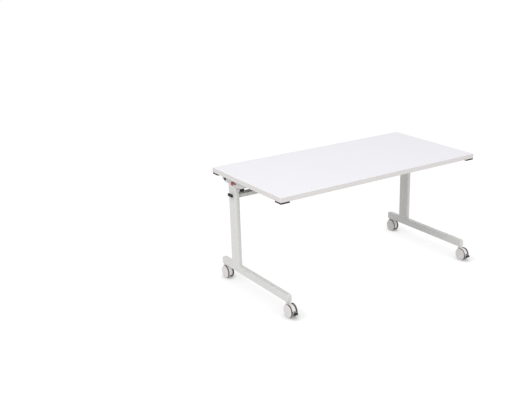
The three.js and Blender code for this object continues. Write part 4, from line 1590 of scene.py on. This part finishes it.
@dataclass
class LegFrame:
    """Columns, feet, crossbar, bumpers, the nesting arm and the welds that join them."""

    column_corner: float = 8 * MM
    striker_half: float = 6 * MM
    striker_corner: float = 3 * MM
    striker_drop: float = 4 * MM
    striker_height: float = 8 * MM
    foot_nose: float = 7 * MM
    foot_heel: float = 4 * MM
    foot_round: float = 2.2 * MM
    bar_corner: float = 3.5 * MM
    bumper_corner: float = 2.2 * MM
    bumper_round: float = 1.2 * MM
    bumper_pad: float = 12 * MM
    bumper_well: float = 6 * MM
    well_radius: float = 3.8 * MM
    well_mouth: float = 5 * MM
    spacer_inset: float = 2 * MM
    arm_sheet: float = 4 * MM
    arm_bend: float = 6 * MM
    bead: float = 1.6 * MM
    bead_sunk: float = 0.2 * MM
    bead_steps: int = 5
    screw: Screw = Screw(3.4 * MM, 2.2 * MM)
    bolt: Screw = Screw(4.5 * MM, 2.6 * MM)
    bolt_rise: float = 24 * MM
    bolt_drops: tuple[float, ...] = (10 * MM, 24 * MM)

    def build(self, shop: Workshop) -> None:
        """Builds and dresses the frame.

        Args:
            shop: Workshop that makes the pieces.
        """
        pad = self.bumper("right_side_bumper", self.bumper_pad)
        shop.both_hands(
            Part("upright", self.column(), FRAME_PAINT, "base", "column"),
            Part("floor_bar", self.foot(), FRAME_PAINT, "base", "foot"),
            Part("bumper", pad, BLACK_RUBBER, "base", "side_bumper"),
            Part("bumper_spacer", self.spacer(), FRAME_PAINT, "base"),
            Part("foot_weld", self.foot_weld(), FRAME_PAINT, "base"),
            Part("bar_weld", self.bar_weld(), FRAME_PAINT, "base"),
            Part("head_bolts", self.bolts(), ZINC_STEEL, "base"),
            Part("bumper_screw", self.bumper_screw(), DARK_STEEL, "base"),
        )
        block = self.bumper("nest_block", math.inf)
        shop.piece("cross_tube", self.crossbar(), FRAME_PAINT, "base", "crossbar")
        shop.piece("nesting_arm", self.arm(), BRACKET_PAINT, "base", "nest_arm")
        shop.piece("nesting_block", block, BLACK_RUBBER, "base", "nest_block")

    def column(self) -> Form:
        """Flat oval upright with the latch striker on its front.

        Returns:
            The right hand column.
        """
        box = Box.of("right_column")
        lo, hi = column_corners()
        oval = rectangle(lo, hi, self.column_corner)
        tube = prism(oval, box.lo.z, box.hi.z, Axis.Z, EASED_EDGE)
        middle, half = joint_point("right_latch_swing").x, self.striker_half
        seat = rectangle(
            Vector((middle - half, box.lo.y)),
            Vector((middle + half, lo.y + 1 * MM)),
            [self.striker_corner, self.striker_corner, 0, 0],
        )
        high = box.hi.z - self.striker_drop
        lug = prism(seat, high - self.striker_height, high, Axis.Z, SOFT_EDGE)
        return combined(tube, [lug], Combine.JOIN)

    def foot(self) -> Form:
        """Long foot with round upper ends.

        Returns:
            The right hand foot.
        """
        box = Box.of("right_foot")
        rounds = [self.foot_heel, self.foot_heel, self.foot_nose, self.foot_nose]
        outline = rectangle(box.lo.yz, box.hi.yz, rounds)
        return prism(outline, box.lo.x, box.hi.x, Axis.X, self.foot_round)

    def crossbar(self) -> Form:
        """Flat tube between the columns.

        Returns:
            The crossbar.
        """
        box = Box.of("crossbar")
        outline = rectangle(box.lo.yz, box.hi.yz, self.bar_corner)
        return prism(outline, box.lo.x, box.hi.x, Axis.X, FINE_EDGE)

    def bumper(self, node: str, thickness: float) -> Form:
        """Rubber block with soft edges and a sunk screw hole in its outer face.

        Args:
            node: Node that the block stands for.
            thickness: Most that the block reaches inwards from its outer face.

        Returns:
            The block.
        """
        box = Box.of(node)
        face = box.hi.x
        outline = rectangle(box.lo.yz, box.hi.yz, self.bumper_corner)
        start = max(box.lo.x, face - thickness)
        block = prism(outline, start, face, Axis.X, self.bumper_round)
        well = lathe(
            Axis.X,
            Vector((0, *box.mid.yz)),
            (self.well_radius, face - self.bumper_well),
            (self.well_radius, face - CHAMFER),
            (self.well_mouth, face + CHAMFER),
        )
        return combined(block, [well], Combine.CUT)

    def spacer(self) -> Form:
        """Coated block between a column and its rubber bumper.

        Returns:
            The right hand spacer.
        """
        box = Box.of("right_side_bumper")
        inset = Vector((self.spacer_inset, self.spacer_inset))
        outline = rectangle(box.lo.yz + inset, box.hi.yz - inset, self.bumper_corner)
        return prism(outline, box.lo.x, box.hi.x - self.bumper_pad, Axis.X, EASED_EDGE)

    def bumper_screw(self) -> Form:
        """Screw at the bottom of a bumper's hole.

        Returns:
            The right hand screw.
        """
        box = Box.of("right_side_bumper")
        seat = Vector((box.hi.x - self.bumper_well, *box.mid.yz))
        return self.screw.set_at([seat], Facing.OUT)

    def fillet(self, start: float, up: float) -> Outline:
        """Section of a weld bead in a corner, as (inset, place), growing from a plane.

        Args:
            start: Place of the plane.
            up: Sign of the way that the bead grows.

        Returns:
            The closed section.
        """
        r, sunk, high = self.bead, start - up * self.bead_sunk, start + up * self.bead
        curve = arc(Vector((-r, high)), r, -up * math.pi / 2, 0, self.bead_steps)
        return flat((r / 2, sunk), (-r, sunk)) + curve + flat((r / 2, high))

    def foot_weld(self) -> Form:
        """Weld bead round the foot of a column."""
        section = self.fillet(Box.of("right_foot").hi.z, 1)
        return nested(*column_corners(), self.column_corner, section, wrap=True)

    def bar_weld(self) -> Form:
        """Weld bead round the end of the crossbar.

        Returns:
            The right hand bead.
        """
        box = Box.of("crossbar")
        section = self.fillet(box.hi.x, -1)
        return nested(box.lo.yz, box.hi.yz, self.bar_corner, section, Axis.X, wrap=True)

    def bolts(self) -> Form:
        """Bolts that hold the cast head in the column.

        Returns:
            The bolts of the right column.
        """
        lo, hi = column_corners()
        middle = (lo.x + hi.x) / 2
        top = Box.of("right_column").hi.z
        ahead = [Vector((middle, lo.y, top + self.bolt_rise))]
        behind = [Vector((middle, hi.y, top - drop)) for drop in self.bolt_drops]
        return self.bolt.set_at(ahead, Facing.FRONT) + self.bolt.set_at(behind, Facing.REAR)

    def arm(self) -> Form:
        """Bent arm on the right column that carries the nesting block.

        Returns:
            The arm.
        """
        box = Box.of("nest_arm")
        half = self.arm_sheet / 2
        side = Box.of("right_column").hi.x + PLAY + half
        line = flat((side, box.hi.y), (side, box.lo.y + half), (box.hi.x, box.lo.y + half))
        outline = folded(rounded(line, self.arm_bend, closed=False), self.arm_sheet)
        corner = Vector((side + self.arm_bend, box.lo.y + self.arm_sheet))
        bent, plate = [
            prism(face, box.lo.z, box.hi.z, Axis.Z, EASED_EDGE)
            for face in (outline, rectangle(box.lo.xy, corner))
        ]
        return combined(bent, [plate], Combine.JOIN)


@dataclass
class Caster:
    """Twin wheel caster: hood, stem, two discs and two tyres, and a pedal at the front."""

    hood_width: float = 25 * MM
    hood_round: float = 2.6 * MM
    hood_steps: int = 4
    rear_steps: int = 24
    front_steps: int = 12
    hood_rear: float = 0.45 * math.pi
    hood_front: float = 0.9 * math.pi
    shy: float = 3 * MM
    lift: float = 20 * MM
    trail: float = 23 * MM
    boss: float = 11.5 * MM
    boss_height: float = 11 * MM
    stem: float = 5 * MM
    stem_length: float = 25 * MM
    washer: float = 9 * MM
    lip: float = 2.5 * MM
    lip_shy: float = 1 * MM
    tyre: float = 7 * MM
    pedal_pin: float = 62 * MM
    pedal_height: float = 38 * MM
    pedal_eye: float = 7 * MM
    pedal_half: float = 13 * MM
    eye_half: float = 4 * MM
    lug_half: float = 4.5 * MM
    nose_half: float = 8 * MM
    rod: float = 2.5 * MM
    rib: float = 0.8 * MM
    rib_half: float = 10 * MM
    rib_shares: tuple[float, ...] = (0.3, 0.5, 0.7)

    def build(self, shop: Workshop) -> None:
        """Builds and dresses the four casters."""
        for end in End:
            for side in Side:
                self.one(shop, side, end)

    def one(self, shop: Workshop, side: Side, end: End) -> None:
        """Builds one caster at a foot's end.

        Args:
            shop: Workshop that makes the pieces.
            side: Hand of the foot.
            end: End of the foot.
        """
        name = f"{side.word}_{end.word}"
        body = f"{name}_caster"
        swivel = joint_point(f"{body}_swivel")
        axle = joint_point(f"{name}_outer_wheel_spin")
        lay = Matrix.Translation((swivel.x, swivel.y, 0)) @ Matrix.Rotation(math.pi, 4, "Z")
        braked = end is End.FRONT
        hood = self.hood(swivel.z, axle.z, braked).moved(lay)
        shop.piece(f"{name}_hood", hood, HOOD_PLASTIC, body, f"{body}_hood")
        shop.piece(f"{name}_stem", self.swivel_stem(swivel.z).moved(lay), ZINC_STEEL, body)
        for where, hand in (("outer", side), ("inner", Side(-side.value))):
            wheel = f"{name}_{where}"
            for part, form, finish, node in (
                ("face", self.disc(wheel, axle), WHEEL_PLASTIC, "disc"),
                ("tread", self.tread(wheel, axle), GREY_TREAD, "tyre"),
            ):
                form = form.handed(hand).moved(Matrix.Translation(axle))
                shop.piece(f"{wheel}_{part}", form, finish, f"{wheel}_wheel", f"{wheel}_{node}")
        if braked:
            pedal, brake = self.pedal().moved(lay), f"{side.word}_brake"
            shop.piece(f"{side.word}_pedal", pedal, BLACK_PLASTIC, brake, f"{brake}_pedal")

    def hood(self, top: float, axle: float, braked: bool) -> Form:
        """Fender between the wheels with the swivel boss, drawn with its trail toward +Y.

        Args:
            top: Height of the foot's lower face.
            axle: Height of the axle.
            braked: Whether the hood has a forked nose for a pedal.

        Returns:
            The hood about its stem.
        """
        radius = axle - self.shy
        start = math.asin((self.lift - axle) / radius)
        centre = Vector((self.trail, axle))
        high = top - CLEARANCE
        low = high - self.boss_height
        outline = arc(centre, radius, start, self.hood_rear, self.rear_steps)
        outline += flat((self.boss, low + 1 * MM), (-self.boss, low + 1 * MM))
        outline += arc(centre, radius, self.hood_front, math.pi - start, self.front_steps)
        half = self.hood_width / 2
        fender = prism(outline, -half, half, Axis.X, self.hood_round, self.hood_steps)
        boss = lathe(
            Axis.Z,
            Vector(),
            (self.boss, low - 2 * MM), (self.boss, high - CHAMFER), (self.boss - CHAMFER, high),
            sides=ROUND_SIDES,
        )
        if not braked:
            return combined(fender, [boss], Combine.JOIN)
        pin, eye = self.pedal_pin, self.pedal_eye + 1 * MM
        gap = rectangle(Vector((pin - eye, 0)), Vector((pin, self.pedal_height + eye)))
        fender = combined(fender, [prism(gap, -half - eye, half + eye, Axis.X)], Combine.CUT)
        return combined(fender, [boss, *self.nose()], Combine.JOIN)

    def nose(self) -> list[Form]:
        """Two lugs that hold the pedal's pin, and the pin.

        Returns:
            The lugs and the pin.
        """
        y, z, eye = self.pedal_pin, self.pedal_height, self.pedal_eye
        inner, outer = self.lug_half, self.nose_half
        outline = arc(Vector((y, z)), eye, -math.pi / 2, math.pi / 2, CURVE_STEPS)
        outline += flat((self.trail + eye, z + eye), (self.trail + eye, z - eye))
        lugs = [
            prism(outline, lo, hi, Axis.X, EASED_EDGE)
            for lo, hi in ((-outer, -inner), (inner, outer))
        ]
        ends = (self.rod, -outer), (self.rod, outer)
        return lugs + [lathe(Axis.X, Vector((0, y, z)), *ends, sides=SMALL_SIDES)]

    def swivel_stem(self, top: float) -> Form:
        """Plated stem and its washer under the foot."""
        seat, end = top - 0.1 * MM, top + self.stem_length
        return lathe(
            Axis.Z,
            Vector(),
            (self.washer, top - 1 * MM), (self.washer, seat), (self.stem, seat),
            (self.stem, end - CHAMFER), (self.stem - CHAMFER, end),
        )

    def disc(self, wheel: str, axle: Vector) -> Form:
        """Wheel face with a lip over the tyre, a stepped dish and a hub.

        Args:
            wheel: Name of the wheel.
            axle: Middle of the axle.

        Returns:
            The disc, drawn toward +X from the axle's middle.
        """
        inside = self.hood_width / 2 + CLEARANCE
        box = Box.of(f"{wheel}_disc")
        outer = max(abs(box.hi.x - axle.x), abs(box.lo.x - axle.x)) - 0.6 * MM
        seat = axle.z - self.tyre - PLAY
        edge, back, hub = axle.z - self.lip_shy, outer - self.lip, outer + 0.6 * MM
        return lathe(
            Axis.X,
            Vector(),
            (4 * MM, PLAY), (4 * MM, inside), (seat, inside), (seat, back), (edge, back, 0.4 * MM),
            (edge, outer, 1.4 * MM), (edge - 4 * MM, outer, 0.8 * MM),
            (edge - 5 * MM, outer - 0.8 * MM, 0.6 * MM), (12 * MM, outer - 0.3 * MM, 0.6 * MM),
            (11 * MM, outer + 0.5 * MM, 0.5 * MM), (3 * MM, hub), (0.4 * MM, hub),
            sides=ROUND_SIDES,
        )

    def tread(self, wheel: str, axle: Vector) -> Form:
        """Soft tyre behind the disc's lip, drawn as the disc is.

        Args:
            wheel: Name of the wheel.
            axle: Middle of the axle.

        Returns:
            The tyre.
        """
        box = Box.of(f"{wheel}_tyre")
        near, far = sorted((abs(box.lo.x - axle.x), abs(box.hi.x - axle.x)))
        inner = axle.z - self.tyre
        corners = flat((inner, near), (axle.z, near), (axle.z, far), (inner, far))
        section = rounded(corners, [0.5 * MM, 2 * MM, 1.6 * MM, 0.5 * MM], steps=5)
        return turned(section, Axis.X, Vector(), ROUND_SIDES, wrap=True)

    def pedal(self) -> Form:
        """Brake pedal with a ribbed tread, drawn with the trail toward +Y.

        Returns:
            The pedal about its caster's stem.
        """
        y, z, eye = self.pedal_pin, self.pedal_height, self.pedal_eye
        heel = y + eye + 1 * MM
        toe = heel + 12 * MM
        corners = flat(
            (heel, z + 3.5 * MM), (heel, z - 13 * MM), (heel + 3 * MM, z - 13 * MM),
            (toe, z - 5 * MM), (toe, z - 1.5 * MM), (heel + 3.5 * MM, z + 3.5 * MM),
        )
        rounds = [0.6 * MM, 1.5 * MM, 1.5 * MM, 1.6 * MM, 1.6 * MM, 2 * MM]
        outline = rounded(corners, rounds, steps=PROFILE_STEPS)
        tread = prism(outline, -self.pedal_half, self.pedal_half, Axis.X, 1 * MM)
        neck = rectangle(Vector((y, z - eye)), Vector((heel + 2 * MM, z + 1.75 * MM)))
        slope = corners[4] - corners[5]
        joins = [(circle(Vector((y, z)), eye, 32), self.eye_half), (neck, self.eye_half)]
        for share in self.rib_shares:
            joins.append((circle(corners[5] + slope * share, self.rib, 12), self.rib_half))
        forms = [prism(face, -half, half, Axis.X) for face, half in joins]
        return combined(tread, forms, Combine.JOIN)


@dataclass(frozen=True)
class Lamp:
    """One square soft light, with its size in metres and its power in watts."""

    name: str
    place: tuple[float, float, float]
    size: float
    power: float

    def hang(self, aim: Vector) -> None:
        """Hangs the light so that it looks at a point.

        Args:
            aim: Point that the light looks at.
        """
        data = bpy.data.lights.new(self.name, "AREA")
        data.shape = "SQUARE"
        data.size = self.size
        data.energy = self.power
        place = Vector(self.place)
        turn = (aim - place).to_track_quat("-Z", "Y").to_matrix().to_4x4()
        placed(self.name, data).matrix_world = Matrix.Translation(place) @ turn


@dataclass
class Studio:
    """White floor, soft lights and the camera at the photograph's angle."""

    picture: tuple[int, int] = (518, 400)
    focal_px: float = 792.4
    centre_px: tuple[float, float] = (335.6, 215.9)
    place: tuple[float, float, float] = (-2.979, -3.7399, 2.0755)
    down: float = math.radians(19.71)
    turn: float = math.radians(-37.49)
    sensor: float = 36.0
    floor_half: float = 30.0
    floor_shadow: float = 0.10
    floor_colour: Colour = (0.86, 0.86, 0.86)
    floor_glow: float = 1.06
    # leans the painted contact shade toward +X, the way a shadow from the key light would fall
    floor_lean: tuple[float, float, float] = (-0.35, 0.0, 0.94)
    # painted contact shade from ambient occlusion: reach, fully occluded level, clear level and
    # darkest painted shade
    contacts: tuple[tuple[float, ...], ...] = ((0.14, 0.82, 0.88, 0.87), (0.04, 0.30, 0.90, 0.38))
    contact_samples: int = 16
    surround: Colour = (1.0, 1.0, 1.0)
    daylight: float = 0.67
    lamps: tuple[Lamp, ...] = (
        Lamp("key_light", (-3.0, -1.6, 3.6), 3.0, 60.0),
        Lamp("front_fill", (1.6, -4.2, 2.2), 3.0, 25.0),
        Lamp("overhead", (0.4, 0.6, 4.4), 3.5, 20.0),
    )
    lamp_aim: tuple[float, float, float] = (0, 0, 0.45)

    def build(self) -> None:
        """Sets the stage."""
        bpy.context.scene.view_settings.view_transform = "Standard"
        self.camera()
        self.floor()
        self.world()
        for lamp in self.lamps:
            lamp.hang(Vector(self.lamp_aim))

    def camera(self) -> None:
        """Makes the camera."""
        width, height = self.picture
        data = bpy.data.cameras.new("camera")
        data.sensor_width = self.sensor
        data.lens = self.sensor * self.focal_px / width
        data.shift_x = (width / 2 - self.centre_px[0]) / width
        data.shift_y = (self.centre_px[1] - height / 2) / width
        camera = placed("camera", data)
        camera.location = self.place
        camera.rotation_euler = (math.pi / 2 - self.down, 0, self.turn)
        bpy.context.scene.camera = camera

    @staticmethod
    def seen(w: Wiring) -> Socket:
        """Mask of rays that show the background: camera, glossy and transmission rays.

        Args:
            w: Wiring of the floor or of the world.

        Returns:
            The mask.
        """
        path = w.add("LightPath").outputs
        direct = w.maths("MAXIMUM", path["Is Camera Ray"], path["Is Glossy Ray"])
        return w.maths("MAXIMUM", direct, path["Is Transmission Ray"])

    def floor(self) -> None:
        """Makes a white floor that keeps a faint share of real soft shadows and a painted contact
        shade, darkest where something stands on it.
        """
        half = self.floor_half
        corners = [(-half, -half, 0), (half, -half, 0), (half, half, 0), (-half, half, 0)]
        mesh = bpy.data.meshes.new("floor")
        mesh.from_pydata(corners, [], [(0, 1, 2, 3)])
        made = bpy.data.materials.new("white_floor")
        made.use_nodes = True
        w = Wiring(made.node_tree)
        matt = w.add("BsdfDiffuse", Color=(*self.floor_colour, 1.0))
        lean = w.fed("CombineXYZ", {}, *self.floor_lean).outputs[0]
        settings = {"samples": self.contact_samples}
        painted_shade = 1.0
        # painted shade: ambient occlusion near the casters and feet darkens the floor's glow, which
        # camera and glossy rays see
        for reach, hidden, clear, darkest in self.contacts:
            near = w.add("AmbientOcclusion", settings, Distance=reach, Normal=lean).outputs["AO"]
            painted_shade = w.maths("MULTIPLY", painted_shade, w.ramp(near, hidden, clear, darkest))
        glow = w.add("Emission", Color=painted_shade, Strength=self.floor_glow)
        share = w.maths("MULTIPLY", self.seen(w), 1.0 - self.floor_shadow)
        w.add("OutputMaterial", Surface=w.mixed(share, matt.outputs[0], glow.outputs[0]))
        mesh.materials.append(made)
        floor = placed("floor", mesh)

    def world(self) -> None:
        """Makes a white surround with dimmer light of its own."""
        world = bpy.data.worlds.new("studio")
        bpy.context.scene.world = world
        world.use_nodes = True
        w = Wiring(world.node_tree)
        light, white = [
            w.add("Background", Color=(*self.surround, 1.0), Strength=strength).outputs[0]
            for strength in (self.daylight, 1.0)
        ]
        w.add("OutputWorld", Surface=w.mixed(self.seen(w), light, white))


def main() -> None:
    """Builds every sub-assembly and the stage."""
    logging.basicConfig(level=logging.INFO, format="%(name)s: %(message)s")
    shop = Workshop()
    Studio().build()
    TableTop().build(shop)
    CableTray().build(shop)
    bracket = HingeBracket()
    bracket.build(shop)
    GasStrut().build(shop, bracket)
    LegFrame().build(shop)
    Caster().build(shop)
    log.info("%d pieces made", shop.count)


if __name__ == "__main__":
    main()
